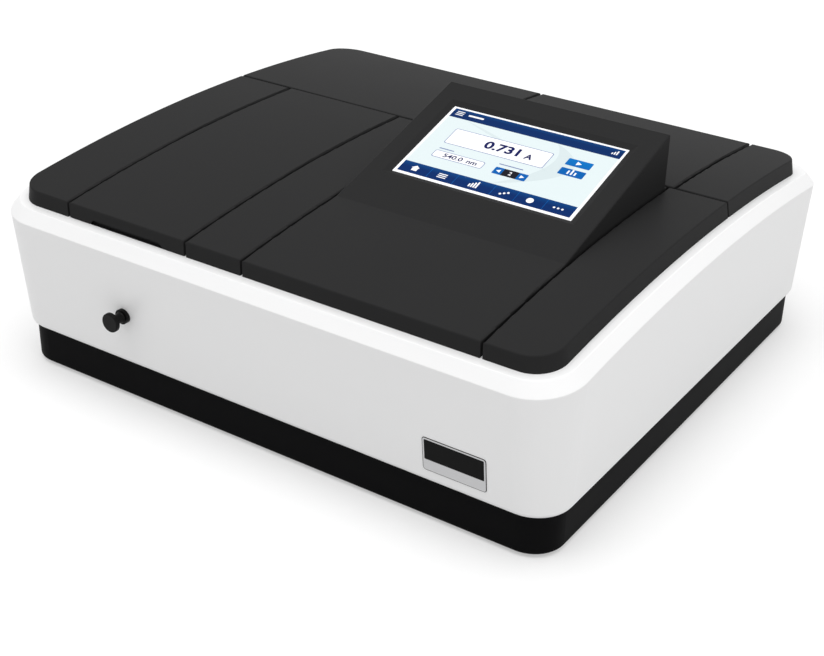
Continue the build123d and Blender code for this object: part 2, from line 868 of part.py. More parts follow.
def make_carriage_rail():
    half = rail_width / 2
    front = carriage_front - travel - rail_spare
    back = carriage_back + rail_spare
    rail = block(lid_middle - half, lid_middle + half, front, back, bench_top + tub_wall, rail_top)
    rail += block(lid_middle - rail_ridge_width / 2, lid_middle + rail_ridge_width / 2, front, back,
                  rail_top, rail_top + rail_ridge)
    return rail


def make_reference_holder():
    half = cell_half + cell_wall
    body = block(lid_middle - half, lid_middle + half, reference_y - cell_half - cell_end,
                 reference_y + cell_half + cell_end, bench_top + tub_wall, holder_top)
    body = chamfer(body.edges().filter_by(Axis.Z), cell_edge)
    body = cut_cell(body, reference_y)
    foot = block(lid_middle - half - holder_foot, lid_middle + half + holder_foot,
                 reference_y - holder_foot, reference_y + holder_foot,
                 bench_top + tub_wall, bench_top + tub_wall + holder_foot_thick)
    return body + foot


bushing_face = shell_front_y - front_draft * (rod_z - tray_top) - bushing_flange
knob_back = bushing_face - knob_gap


def make_pull_rod():
    return rod_along_y(lid_middle, knob_back - knob_length + knob_head, carriage_front, rod_z,
                       rod_radius)


def make_rod_knob():
    """Turned knob: flat head with a round edge on a waisted neck."""
    head = knob_length - knob_head
    neck_end = head - cover_wall
    rim = knob_radius - knob_round
    quarter = knob_round * (1 - cos(radians(45)))
    outline = Polyline((rod_radius, 0), (knob_neck + knob_gap, 0), (knob_neck, knob_round),
                       (knob_neck, neck_end)).edges()
    outline += [ThreePointArc((knob_neck, neck_end), (knob_neck + knob_round, head - 1), (rim, head)),
                Line((rim, head), (knob_radius, head + knob_round / 2)),
                Line((knob_radius, head + knob_round / 2), (knob_radius, knob_length - knob_round)),
                ThreePointArc((knob_radius, knob_length - knob_round),
                              (knob_radius - quarter, knob_length - quarter), (rim, knob_length)),
                Line((rim, knob_length), (0, knob_length)),
                Line((0, knob_length), (0, head)),
                Line((0, head), (rod_radius, head)),
                Line((rod_radius, head), (rod_radius, 0))]
    knob = revolve(make_face(outline), Axis.Y, 360)
    return Pos(lid_middle, knob_back, rod_z) * Rot(0, 0, 180) * knob


def make_rod_bushing():
    """Flanged sleeve through the front wall, up to the tub."""
    sleeve = rod_along_y(lid_middle, bushing_face + overcut, tub_front, rod_z, bushing_radius)
    flange = rod_along_y(lid_middle, bushing_face, tub_front - bushing_flange, rod_z,
                         bushing_flange_radius)
    flange -= loft([shell_section(tray_top, 0), shell_section(crest_z, 0)], ruled=True)
    bushing = sleeve + flange
    return bushing - rod_along_y(lid_middle, bushing_face - overcut, tub_front + overcut, rod_z,
                                 rod_radius + rod_fit)


# Optical bench and what stands on it

def make_optical_bench():
    plate = rounded_block(bench_left, bench_step, bench_front, bench_back, bench_stand, bench_top,
                          bench_corner)
    plate += rounded_block(bench_step - bench_lap, bench_right, bench_right_front, bench_back,
                           bench_stand, bench_top, bench_corner)
    rib_z = bench_stand - bench_rib
    half = bench_rib_width / 2
    margin = bench_corner
    clear_of_motor = motor_side / 2 + half + 2
    for x in (source_x - motor_side - clear_of_motor / 2, source_x + clear_of_motor + motor_edge):
        plate += block(x - half, x + half, bench_front + margin, bench_back - margin,
                       rib_z, bench_stand)
    rear_rib = bench_back - motor_side - half
    plate += block(bench_left + margin, bench_right - margin, rear_rib - half, rear_rib + half,
                   rib_z, bench_stand)
    cross_rib = (carriage_back + reference_y) / 2 - carriage_room / 2 - bench_corner
    plate += block(bench_left + margin, bench_step - margin, cross_rib - half, cross_rib + half,
                   rib_z, bench_stand)
    for x, y in bench_post_places():
        plate += rod_along_z(x, y, rib_z, bench_stand, post_radius + half)
    for x, y, radius in ((grating_x, grating_y, grating_shaft + bearing_wall),
                         (grating_x, pinion_y, motor_boss), (source_x, entrance_y, motor_boss)):
        plate -= rod_along_z(x, y, rib_z - overcut, bench_top + overcut, radius)
    return plate


def bench_screws():
    """Socket heads over the posts."""
    heads = []
    for x, y in bench_post_places():
        head = rod_along_z(x, y, bench_top, bench_top + screw_high, screw_radius)
        hexagon = Pos(x, y, bench_top + screw_high / 2) * RegularPolygon(socket_radius, 6)
        heads.append(head - extrude(hexagon, screw_high))
    return heads


gear_radius = gear_module * gear_teeth / 2
pinion_radius = gear_module * pinion_teeth / 2
pinion_y = grating_y + gear_radius + pinion_radius
gear_z = bench_top + gear_level


def make_mono_housing():
    house = block(mono_left, mono_right, mono_front, mono_back, bench_top, bench_top + mono_height)
    house -= block(mono_left + mono_wall, mono_right - mono_wall, mono_front + mono_wall,
                   mono_back - mono_wall, bench_top - overcut, bench_top + mono_height + overcut)
    for y in (entrance_y, reference_y):
        house -= rod_along_x(mono_left - overcut, mono_left + mono_wall + overcut, y, beam_z,
                             slit_hole)
    return chamfer(house.edges().filter_by(Axis.Z).sort_by(Axis.X)[-1:], mono_wall / 3)


def make_mono_cover():
    """Folded lid that drops over the housing's walls."""
    top = bench_top + mono_height
    out = mono_cover_thick
    gap = mono_cover_gap
    lid = block(mono_left - out, mono_right + out, mono_front - out, mono_back + out,
                top - mono_cover_skirt, top + out)
    return lid - block(mono_left - gap, mono_right + gap, mono_front - gap, mono_back + gap,
                       top - mono_cover_skirt - overcut, top)


def slit_plate(y):
    half = slit_plate_half
    plate = block(mono_left - slit_thick, mono_left, y - half, y + half, beam_z - half, beam_z + half)
    return plate - block(mono_left - slit_thick - overcut, mono_left + overcut, y - slit_width / 2,
                         y + slit_width / 2, beam_z - slit_high / 2, beam_z + slit_high / 2)


def flat_mirror(x, y, facing):
    """A flat glass on a post, its face through (x, y) and turned towards facing, in degrees."""
    half = mirror_size / 2
    back = -3 * mirror_thick
    glass = block(-mirror_thick, 0, -half, half, beam_z - half, beam_z + half)
    stand = block(back, -mirror_thick, -half, half, bench_top + mirror_foot,
                  beam_z + half - mirror_foot)
    stand += block(back - mirror_foot, mirror_foot, -half - mirror_foot, half + mirror_foot,
                   bench_top, bench_top + mirror_foot)
    place = Pos(x, y, 0) * Rot(0, 0, facing)
    return place * glass, place * stand


def curved_mirror(x, y, facing):
    """A round concave mirror in a ring stand, its face through (x, y)."""
    radius = mirror_radius
    back = -3 * mirror_thick
    rim = mirror_thick / 2
    glass = rod_along_x(back, rim, 0, 0, radius) - Pos(mirror_curve, 0, 0) * Sphere(mirror_curve)
    ring = rod_along_x(back - rim, -rim, 0, 0, radius + bearing_wall)
    ring -= rod_along_x(back, rim, 0, 0, radius + hinge_fit)
    ring -= rod_along_x(2 * back, back + rim, 0, 0, radius / 2)
    lift = bench_top - beam_z
    ring += block(back - mirror_thick, rim, -radius, radius, lift, lift + mirror_foot)
    ring += block(back - rim, -mirror_thick - rim, -radius / 2, radius / 2,
                  lift + mirror_foot / 2, -radius - bearing_wall / 2)
    place = Pos(x, y, beam_z) * Rot(0, 0, facing)
    return place * glass, place * ring


def bisect(x, y, source, target):
    """Direction, in degrees, that a mirror at (x, y) faces to send light from source to target."""
    to_source = atan2(source[1] - y, source[0] - x)
    to_target = atan2(target[1] - y, target[0] - x)
    return degrees(atan2(sin(to_source) + sin(to_target), cos(to_source) + cos(to_target)))


def tooth(teeth, middle):
    """One involute tooth in plan, centred on the direction middle in degrees."""
    pitch_r = gear_module * teeth / 2
    pressure_angle = radians(20)
    base_r = pitch_r * cos(pressure_angle)
    tip_r = pitch_r + gear_module
    root_r = pitch_r - 1.25 * gear_module
    half_pitch = (pi * gear_module / 4 - gear_slack) / pitch_r
    involute_at_pitch = tan(pressure_angle) - pressure_angle
    flank = []
    for k in range(4):
        r = max(base_r, root_r) + (tip_r - max(base_r, root_r)) * k / 3
        roll = acos(min(1, base_r / r))
        flank.append((r, half_pitch + involute_at_pitch - (tan(roll) - roll)))
    flank.insert(0, (root_r - gear_module / 2, flank[0][1]))
    right = [(r, radians(middle) - a) for r, a in flank]
    left = [(r, radians(middle) + a) for r, a in reversed(flank)]
    return make_face(Polyline(*[(r * cos(a), r * sin(a)) for r, a in right + left], close=True))


def toothed(teeth, middles, hub, thick):
    """Teeth standing on a hub outline, extruded together."""
    plan = hub
    for middle in middles:
        plan += tooth(teeth, middle)
    return extrude(plan, thick)


def make_sector_gear():
    """Sector on the grating shaft, with teeth only where the travel needs them."""
    pitch = 360 / gear_teeth
    count = int(grating_travel / pitch) + 1 + spare_teeth
    middles = [90 - k * pitch for k in range(-spare_teeth, count)]
    root = gear_radius - 1.25 * gear_module
    first, last = middles[-1] - pitch / 2, middles[0] + pitch / 2
    middle = (first + last) / 2
    reach = 2 * gear_radius
    spread = radians((last - first) / 2)
    cone = make_face(Polyline((0, 0), (reach, -reach * tan(spread)), (reach, reach * tan(spread)),
                              close=True))
    fan = Circle(root) & (Rot(0, 0, middle) * cone)
    fan -= Circle(root - gear_rim) - Circle(grating_shaft + gear_hub_wall)
    arm = Rot(0, 0, middle) * (Pos(root / 2, 0) * Rectangle(root, gear_arm))
    fan += arm & Circle(root)
    hub = fan + Circle(grating_shaft + gear_hub_wall)
    gear = toothed(gear_teeth, middles, hub, gear_thick)
    gear += extrude(Circle(grating_shaft + gear_hub_wall - 1), gear_thick + gear_hub_high)
    gear -= Cylinder(grating_shaft, 4 * gear_thick)
    return Pos(grating_x, grating_y, gear_z) * gear


def make_drive_pinion():
    pitch = 360 / pinion_teeth
    middles = [270 + (k + 0.5) * pitch for k in range(pinion_teeth)]
    root = pinion_radius - 1.25 * gear_module
    pinion = toothed(pinion_teeth, middles, Circle(root), gear_thick + gear_module)
    pinion += extrude(Circle(root - gear_module / 2), 2 * gear_thick)
    pinion -= Cylinder(motor_shaft + shaft_fit, far / 10)
    return Pos(grating_x, pinion_y, gear_z - gear_module / 2) * pinion


def make_grating_parts():
    """Shaft with its round table and upright, the bearing in the bench, and the ruled block."""
    table_z = gear_z + gear_thick + gear_hub_high
    table_top = table_z + table_thick
    half = grating_width / 2
    back = grating_x - grating_thick
    table = rod_along_z(grating_x, grating_y, bench_stand, table_z, grating_shaft - shaft_fit / 2)
    table += rod_along_z(grating_x, grating_y, table_z, table_top, table_radius)
    table += block(back - grating_back, back, grating_y - half, grating_y + half,
                   table_top, beam_z + half / 2)
    wall = grating_shaft + bearing_wall
    lip = bench_top + bearing_flange_thick
    bore = grating_shaft + shaft_fit
    bearing = tube_along_z(grating_x, grating_y, bench_stand, lip, wall, bore)
    bearing += tube_along_z(grating_x, grating_y, bench_top, lip, wall + bearing_flange, bore)
    grating = block(back, grating_x, grating_y - half, grating_y + half,
                    table_top, beam_z + grating_high / 2)
    return {"grating_table": table, "grating_bearing": bearing, "diffraction_grating": grating}


def small_motor(x, y, side, shaft_top):
    """Square stepper hung under the bench with its shaft up."""
    half = side / 2
    body = block(x - half, x + half, y - half, y + half, bench_stand - motor_high, bench_stand)
    body = chamfer(body.edges().filter_by(Axis.Z), motor_edge)
    body += rod_along_z(x, y, bench_stand, bench_stand + motor_boss_high, motor_boss - rail_gap)
    return body + rod_along_z(x, y, bench_stand, shaft_top, motor_shaft)


# Light source side

def make_lamp_house():
    """Sheet-metal hood round the lamps, with louvre slots towards the fan and in its top."""
    top = bench_top + house_high
    hood = block(house_left, house_right, house_front, house_back, bench_top, top)
    hood -= block(house_left + house_wall, house_right - house_wall, house_front + house_wall,
                  house_back - house_wall, bench_top - overcut, top - house_wall)
    hood -= rod_along_x(house_right - house_wall - overcut, house_right + overcut, entrance_y,
                        beam_z, house_port)
    middle = (house_left + house_right) / 2
    half = louvre_width / 2
    for k in range(louvres):
        x = middle + (k - (louvres - 1) / 2) * louvre_pitch
        hood -= block(x - half, x + half, house_back - house_wall - overcut, house_back + overcut,
                      bench_top + louvre_margin, top - louvre_margin)
        hood -= block(x - half, x + half, house_front + louvre_margin, house_back - louvre_margin,
                      top - house_wall - overcut, top + overcut)
    return hood


def lamp_place(angle):
    return (source_x + lamp_distance * cos(radians(angle)),
            entrance_y + lamp_distance * sin(radians(angle)))


def make_lamps():
    base = bench_top + socket_high
    d_x, d_y = lamp_place(90)
    d_base = deuterium_radius + 2
    deuterium = rod_along_z(d_x, d_y, base, base + socket_high, d_base)
    deuterium += rod_along_z(d_x, d_y, base + socket_high, beam_z + 1.7 * deuterium_radius,
                             deuterium_radius)
    deuterium += rod_along_y(d_x, d_y - 1.2 * deuterium_radius, d_y, beam_z, deuterium_radius / 2)
    deuterium = fillet(deuterium.edges().group_by(Axis.Z)[-1], deuterium_radius / 2)
    t_x, t_y = lamp_place(tungsten_angle)
    t_base = tungsten_radius + 2
    tungsten = rod_along_z(t_x, t_y, base, base + 1.5 * socket_high, t_base)
    tungsten += rod_along_z(t_x, t_y, base + 1.5 * socket_high, beam_z + 1.6 * tungsten_radius,
                            tungsten_radius)
    tungsten = fillet(tungsten.edges().group_by(Axis.Z)[-1], 0.8 * tungsten_radius)
    sockets = group(rod_along_z(d_x, d_y, bench_top, base, d_base + 2),
                    block(t_x - t_base - 2, t_x + t_base + 2, t_y - t_base - 2, t_y + t_base + 2,
                          bench_top, base))
    return {"deuterium_lamp": deuterium, "tungsten_lamp": tungsten, "lamp_sockets": sockets}


def make_source_mirror():
    """Mirror on a turning holder, which sends either lamp's light to the filter wheel."""
    facing = bisect(source_x, entrance_y, lamp_place(90), (mono_left, entrance_y))
    place = Pos(source_x, entrance_y, beam_z) * Rot(0, 0, facing)
    back = -2 * mirror_thick
    glass = rod_along_x(back, 1, 0, 0, source_glass) - Pos(source_curve, 0, 0) * Sphere(source_curve)
    low = bench_top + motor_shaft * 2.4 - beam_z
    hub = motor_shaft + 3.5
    holder = rod_along_x(back - mirror_thick, back, 0, 0, source_glass + 1)
    holder += block(back - mirror_thick, back, -source_glass / 2 - 1, source_glass / 2 + 1, low, 0)
    holder += Pos(0, 0, low + 2) * Cylinder(2 * hub - 1, 4)
    holder += Pos(0, 0, low - 1) * Cylinder(hub, 4)
    holder -= Pos(0, 0, low) * Cylinder(motor_shaft + shaft_fit, 20)
    return group(place * glass, place * holder)


def make_filter_wheel():
    half = wheel_thick / 2
    wheel = rod_along_x(wheel_x - half, wheel_x + half, entrance_y, wheel_z, wheel_radius)
    wheel += rod_along_x(wheel_x - half - cover_wall, wheel_x + half, entrance_y, wheel_z, wheel_hub)
    panes = []
    for k in range(filters):
        angle = radians(-90 + k * 360 / filters)
        y = entrance_y + filter_ring * cos(angle)
        z = wheel_z + filter_ring * sin(angle)
        wheel -= rod_along_x(wheel_x - half - overcut, wheel_x + half + overcut, y, z, filter_radius)
        panes.append(rod_along_x(wheel_x - filter_thick / 2, wheel_x + filter_thick / 2, y, z,
                                 filter_radius - shaft_fit))
    wheel -= rod_along_x(wheel_x - 2 * wheel_thick, wheel_x + wheel_thick, entrance_y, wheel_z,
                         wheel_shaft + shaft_fit)
    return {"filter_wheel": wheel, "filter_glasses": group(*panes)}


def make_filter_motor():
    """Small round motor on a bracket with two legs, behind the filter wheel."""
    front = wheel_x - wheel_thick / 2 - cover_wall - 2
    back = front - filter_motor_length
    plate = back - bracket_thick
    half = filter_motor_radius + 2
    top = wheel_z + half - 1
    motor = rod_along_x(back, front, entrance_y, wheel_z, filter_motor_radius)
    motor += rod_along_x(front, wheel_x + wheel_thick / 2 - 0.5, entrance_y, wheel_z, wheel_shaft)
    bracket = block(plate, back, entrance_y - half, entrance_y + half, beam_z + bracket_leg, top)
    for side in (-1, 1):
        middle = entrance_y + side * (half + bracket_leg / 2)
        y0, y1 = middle - bracket_leg / 2, middle + bracket_leg / 2
        bracket += block(plate, back, y0, y1, bench_top, top)
        bracket += block(plate, front - bracket_leg, y0, y1, bench_top, bench_top + bracket_thick)
    return group(motor, bracket)


# Detectors and electronics

def make_detector(y):
    """Photodiode housing with a lens tube facing the compartment window."""
    front = tub_left - window_thick - detector_gap
    half = detector_half
    body_front = front - 2 * bracket_leg
    body_back = body_front - detector_length
    foot_top = bench_top + post_foot
    body = block(body_back, body_front, y - half, y + half, foot_top, beam_z + detector_high)
    body = chamfer(body.edges().filter_by(Axis.Z), 2)
    body += block(body_back - post_foot, body_front + post_foot, y - 2 * half / 3, y + 2 * half / 3,
                  bench_top, foot_top)
    tube = rod_along_x(body_front - overcut, front, y, beam_z, detector_tube)
    tube -= rod_along_x(front - detector_bore, front + overcut, y, beam_z, detector_bore)
    return body + tube


def circuit_board(x0, x1, y0, y1, floor, stand, chips):
    """A board on four pillars, with blocks for its larger parts."""
    level = floor + stand
    board = block(x0, x1, y0, y1, level, level + board_thick)
    for x in (x0 + pillar_inset, x1 - pillar_inset):
        for y in (y0 + pillar_inset, y1 - pillar_inset):
            board += rod_along_z(x, y, floor, level, pillar_radius)
    for along, across, wide, deep, high in chips:
        place = Pos(x0 + along * (x1 - x0), y0 + across * (y1 - y0), level + board_thick + high / 2)
        board += place * Box(wide, deep, high)
    return board


supply_right = tray_width / 2 - supply_side_gap
supply_left = supply_right - supply_width
supply_back = bench_right_front - supply_behind
supply_front = supply_back - supply_depth


def make_boards():
    """Preamplifier on the bench between the detectors, and the main board on the tray's floor."""
    preamp_left = bench_left + preamp_margin
    preamp = circuit_board(preamp_left, preamp_left + preamp_width, sample_y + preamp_front,
                           reference_y - preamp_back, bench_top, 5,
                           ((0.5, 0.44, 14, 14, 3), (0.75, 0.8, 8, 10, 6)))
    right = supply_left - main_board_gap
    front = main_board_front - tray_depth / 2
    main = circuit_board(right - main_board_width, right, front, front + main_board_depth,
                         tray_floor, 10,
                         ((0.51, 0.48, 30, 30, 3), (0.8, 0.21, 22, 14, 4),
                          (0.15, 0.76, 20, 40, 9), (0.87, 0.76, 12, 30, 12)))
    return group(preamp, main)


def make_power_supply():
    """Closed supply in a vented steel case with screw ears."""
    top = tray_floor + supply_high
    case = block(supply_left, supply_right, supply_front, supply_back, tray_floor, top)
    pitch = (supply_width - louvre_margin) / supply_slots
    for k in range(supply_slots):
        x = supply_left + louvre_margin / 2 + (k + 0.3) * pitch
        case -= block(x, x + 0.4 * pitch, supply_front + louvre_margin, supply_back - louvre_margin,
                      top - cover_wall, top + overcut)
    ear = motor_side / 4
    return case + block(supply_left - ear, supply_right + ear, supply_front + ear,
                        supply_front + 3 * ear, tray_floor, tray_floor + mono_cover_thick)


# Back wall pieces, built about the rear plane

def make_rear_panel():
    """Steel plate with one cut-out for each device on it."""
    deep = 3 * rear_panel_thick
    panel = Pos(0, 0, -rear_panel_thick / 2) * Box(rear_panel_width, rear_panel_high,
                                                  rear_panel_thick)
    for x, wide, high in ((inlet_x, inlet_width, inlet_high), (switch_x, switch_width, switch_high),
                          (serial_x, serial_width, serial_high),
                          (usb_b_x, usb_b_size, usb_b_size), (usb_a_x, usb_a_width, usb_a_high)):
        panel -= Pos(-x, 0, 0) * Box(wide + 2 * cutout_gap, high + 2 * cutout_gap, deep)
    panel -= Pos(-fan_x, 0, 0) * Cylinder(fan_bore, deep)
    panel -= Pos(-fuse_x, 0, 0) * Cylinder(fuse_radius + cutout_gap, deep)
    return rear_plane.location * panel


def make_fan():
    """Square frame with four struts, a seven-bladed rotor on its axle, and a wire guard."""
    half = fan_size / 2
    back = -rear_panel_thick - fan_depth
    strut_z = back + fan_strut / 2
    frame = extrude(Pos(0, 0, back) * RectangleRounded(fan_size, fan_size, fan_corner), fan_depth)
    frame -= Pos(0, 0, back + fan_depth / 2) * Cylinder(fan_bore, fan_depth + 2 * overcut)
    frame += Pos(0, 0, strut_z) * Cylinder(fan_hub - fan_tip_gap, fan_strut)
    inner = fan_hub - fan_strut
    outer = fan_bore + fan_strut
    for k in range(4):
        arm = Pos((inner + outer) / 2, 0, strut_z) * Box(outer - inner, fan_strut, fan_strut)
        frame += Rot(0, 0, 45 + 90 * k) * arm
    corner = half - fan_corner
    for x in (-corner, corner):
        for y in (-corner, corner):
            frame -= Pos(x, y, back) * Cylinder(fan_strut / 2, 3 * fan_depth)
    frame -= Pos(0, 0, strut_z) * Cylinder(fan_axle + hinge_fit, 2 * fan_strut)
    rotor_z = back + fan_depth / 2 + fan_strut / 2
    rotor_long = fan_depth - fan_strut - 3 * fan_tip_gap
    rotor = Pos(0, 0, rotor_z) * Cylinder(fan_hub, rotor_long)
    rotor += Pos(0, 0, strut_z + fan_strut / 2) * Cylinder(fan_axle, 2 * fan_strut)
    ring = Cylinder(fan_bore - fan_tip_gap, far) - Cylinder(fan_hub - fan_tip_gap, far)
    chord = rotor_long + fan_strut
    for k in range(fan_blades):
        blade = Rot(fan_pitch_angle, 0, 0) * Box(fan_bore, chord, fan_axle)
        blade = Pos((fan_bore + fan_hub) / 2, 0, 0) * blade
        rotor += Pos(0, 0, rotor_z) * Rot(0, 0, k * 360 / fan_blades) * (blade & ring)
    guard = Pos(0, 0, guard_wire) * Torus(guard_radius, guard_wire)
    for k in range(1, 4):
        guard += Pos(0, 0, guard_wire) * Torus(k * guard_radius / 4, guard_wire)
    for k in range(2):
        wire = Rot(0, 90, 0) * Cylinder(guard_wire, 2 * half * sqrt(2) - 4 * fan_corner)
        guard += Rot(0, 0, 45 + 90 * k) * (Pos(0, 0, guard_wire) * wire)
    return {"fan_frame": on_rear(fan_x, frame), "fan_rotor": on_rear(fan_x, rotor),
            "fan_guard": on_rear(fan_x, guard)}


def make_mains_inlet():
    """Three-pin appliance inlet with its flange, pins inside an open socket."""
    body = Pos(0, 0, inlet_flange - inlet_depth / 2) * Box(inlet_width, inlet_high, inlet_depth)
    body += Pos(0, 0, inlet_flange / 2) * Box(inlet_flange_width, inlet_high + cover_wall,
                                              inlet_flange)
    socket = RectangleRounded(inlet_width - 2 * inlet_wall, inlet_high - 2 * inlet_wall,
                              2 * inlet_wall)
    socket_floor = -14.0
    body -= extrude(Pos(0, 0, socket_floor) * socket, inlet_depth)
    for x, y in ((-7, -1.5), (0, 2.5), (7, -1.5)):
        body += Pos(x, y, socket_floor + 4.8) * Box(2, 4, 10)
    return on_rear(inlet_x, body)


def make_power_switch():
    """Rocker switch: its frame, and the paddle on two trunnions."""
    room_width = switch_width - 2 * switch_wall
    room_high = switch_high - 2.4 * switch_wall
    depth = 20.0
    frame = Pos(0, 0, inlet_wall - depth / 2) * Box(switch_width, switch_high, depth)
    frame += Pos(0, 0, switch_wall) * Box(switch_width + cover_wall, switch_high + cover_wall,
                                          2 * switch_wall)
    frame -= Box(room_width, room_high, depth / 2 - switch_wall)
    axis = Rot(0, 90, 0)
    frame -= Pos(0, 0, -pivot_depth) * axis * Cylinder(rocker_pivot + hinge_fit, room_width + 1.2)
    wide = room_width - 0.8
    long = room_high / 2 - 0.4
    paddle = Pos(0, 0, -pivot_depth) * axis * Cylinder(1.6, wide)
    paddle += Pos(0, 0, -pivot_depth) * axis * Cylinder(rocker_pivot, room_width + 1)
    for side in (-1, 1):
        half = Rot(side * rocker_tilt, 0, 0) * Box(wide, long, 3.6)
        paddle += Pos(0, side * long / 2, 0.6) * half
    place = Pos(0, 0, -pivot_depth) * Rot(rocker_tilt, 0, 0) * Pos(0, 0, pivot_depth)
    return {"switch_frame": on_rear(switch_x, frame),
            "power_rocker": on_rear(switch_x, place * paddle)}


def port(width, high, opening_width, opening_high):
    """A socket shell through the panel, open outwards, with a solid back."""
    depth = 18.0
    out = 2.0
    shell = Pos(0, 0, out - depth / 2) * Box(width, high, depth)
    return shell - Pos(0, 0, out) * Box(opening_width, opening_high, 20)


def make_rear_ports():
    """Serial socket, two data sockets and the fuse holder."""
    usb_b = port(usb_b_size, usb_b_size, 8.6, 7.8) + Pos(0, 0, -3.2) * Box(5.6, 2.6, 10)
    usb_a = port(usb_a_width, usb_a_high, usb_a_width - 1, usb_a_high - 1)
    usb_a += Pos(0, -1.6, -3) * Box(usb_a_width - 2, 1.2, 10.4)
    serial = Pos(0, 0, -4) * Box(serial_width, serial_high, 12)
    serial += Pos(0, 0, 0.5) * Box(31, serial_high + cover_wall, 1)
    serial += extrude(Trapezoid(serial_width, 8.4, 80, rotation=180), 5.6)
    fuse = Pos(0, 0, -14) * Cylinder(fuse_radius, 32) + Pos(0, 0, 1) * Cylinder(fuse_radius + 2.5, 2)
    fuse -= Pos(0, 0, 2) * Box(1.4, 1.5 * fuse_radius, 2.4)
    return group(on_rear(serial_x, serial), on_rear(usb_b_x, usb_b), on_rear(usb_a_x, usb_a),
                 on_rear(fuse_x, fuse))


def panel_screws():
    """Cross-head screws along the panel's long edges."""
    heads = []
    half_x = rear_panel_width / 2 - 2 * rear_panel_margin
    half_y = rear_panel_high / 2 - rear_panel_margin - 2 * panel_screw
    for x in (-half_x, -half_x / 3, half_x / 3, half_x):
        for y in (-half_y, half_y):
            head = Pos(x, y, 1) * Cylinder(panel_screw, 2)
            head -= Pos(x, y, 2) * Box(0.9, 4, 1)
            head -= Pos(x, y, 2) * Box(4, 0.9, 1)
            heads.append(rear_plane.location * head)
    return heads


def collect():
    pieces = {"feet": make_feet(), "base_tray": make_base_tray(),
              "main_shell": make_main_shell(), "sample_lid": make_sample_lid(),
              "screen_cover": make_screen_cover(), "cover_frame": make_cover_frame(),
              "compartment_tub": make_compartment_tub(), "lid_seal": make_lid_seal(),
              "compartment_windows": make_compartment_windows(),
              "hinge_bracket": make_hinge_bracket(), "hinge_pins": make_hinge_pins(),
              "cell_carriage": make_cell_carriage(), "carriage_rail": make_carriage_rail(),
              "reference_holder": make_reference_holder(), "pull_rod": make_pull_rod(),
              "rod_knob": make_rod_knob(), "rod_bushing": make_rod_bushing(),
              "optical_bench": make_optical_bench(),
              "mono_housing": make_mono_housing(), "mono_cover": make_mono_cover(),
              "lamp_house": make_lamp_house(), "rear_panel": make_rear_panel(),
              "mains_inlet": make_mains_inlet(), "power_supply": make_power_supply()}
    pieces.update(make_side_covers())
    pieces.update(make_display())
    pieces.update(make_grating_parts())
    pieces.update(make_lamps())
    pieces.update(make_filter_wheel())
    pieces.update(make_fan())
    pieces.update(make_power_switch())
    pieces["rear_ports"] = make_rear_ports()
    pieces["screws"] = group(*panel_screws(), *bench_screws())
    pieces["sector_gear"] = make_sector_gear()
    pieces["drive_pinion"] = make_drive_pinion()
    pieces["source_mirror"] = make_source_mirror()
    pieces["filter_motor"] = make_filter_motor()
    pieces["bench_motors"] = group(
        small_motor(grating_x, pinion_y, motor_side, gear_z + gear_thick + gear_hub_high),
        small_motor(source_x, entrance_y, motor_side, bench_top + 3 * post_foot))
    pieces["slit_plates"] = group(slit_plate(entrance_y), slit_plate(reference_y))
    to_entrance = bisect(mirror_x, entrance_y, (mono_left, entrance_y), (grating_x, grating_y))
    to_exit = bisect(mirror_x, reference_y, (mono_left, reference_y), (grating_x, grating_y))
    glass_1, ring_1 = curved_mirror(mirror_x, entrance_y, to_entrance)
    glass_2, ring_2 = curved_mirror(mirror_x, reference_y, to_exit)
    splitter_x = (tub_right + mono_left) / 2
    half_glass, half_stand = flat_mirror(splitter_x, reference_y, -45)
    fold_glass, fold_stand = flat_mirror(splitter_x, sample_y, 135)
    pieces["beam_splitter"] = half_glass
    pieces["fixed_mirrors"] = group(glass_1, glass_2, fold_glass)
    pieces["mirror_stands"] = group(ring_1, ring_2, half_stand, fold_stand)
    pieces["detectors"] = group(make_detector(sample_y), make_detector(reference_y))
    pieces["circuit_boards"] = make_boards()
    return pieces


if __name__ == "__main__":
    os.makedirs("parts", exist_ok=True)
    pieces = collect()
    front = pieces["rod_knob"].bounding_box().min.Y
    back = pieces["main_shell"].bounding_box().max.Y
    centre = Location((0, -(front + back) / 2, 0))
    print("shift", -(front + back) / 2)
    for name, shape in pieces.items():
        export_step(shape.moved(centre), "parts/" + name + ".step")
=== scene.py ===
import bpy
import bmesh
from math import atan, cos, pi, radians, sin
from mathutils import Matrix, Vector


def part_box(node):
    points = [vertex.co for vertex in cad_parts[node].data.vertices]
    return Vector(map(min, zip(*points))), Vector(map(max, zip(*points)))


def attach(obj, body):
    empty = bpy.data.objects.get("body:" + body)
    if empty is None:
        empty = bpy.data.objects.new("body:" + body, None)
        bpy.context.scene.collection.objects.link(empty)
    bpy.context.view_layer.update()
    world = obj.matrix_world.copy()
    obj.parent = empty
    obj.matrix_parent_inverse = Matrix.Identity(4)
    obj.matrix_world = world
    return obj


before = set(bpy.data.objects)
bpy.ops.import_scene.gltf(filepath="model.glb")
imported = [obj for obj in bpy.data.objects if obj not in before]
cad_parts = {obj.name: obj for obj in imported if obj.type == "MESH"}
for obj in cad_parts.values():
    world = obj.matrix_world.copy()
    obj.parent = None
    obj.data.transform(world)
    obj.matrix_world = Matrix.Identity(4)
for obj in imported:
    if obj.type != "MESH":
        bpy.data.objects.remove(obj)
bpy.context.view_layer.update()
mm = 0.001

# Rubber feet: four round pads pressed into bosses in the tray's floor.
# The rubber is dull and a little dusty from the bench, and the lid's seal is made of it too.

cloud_scale = 9.0
relief_height = 0.02


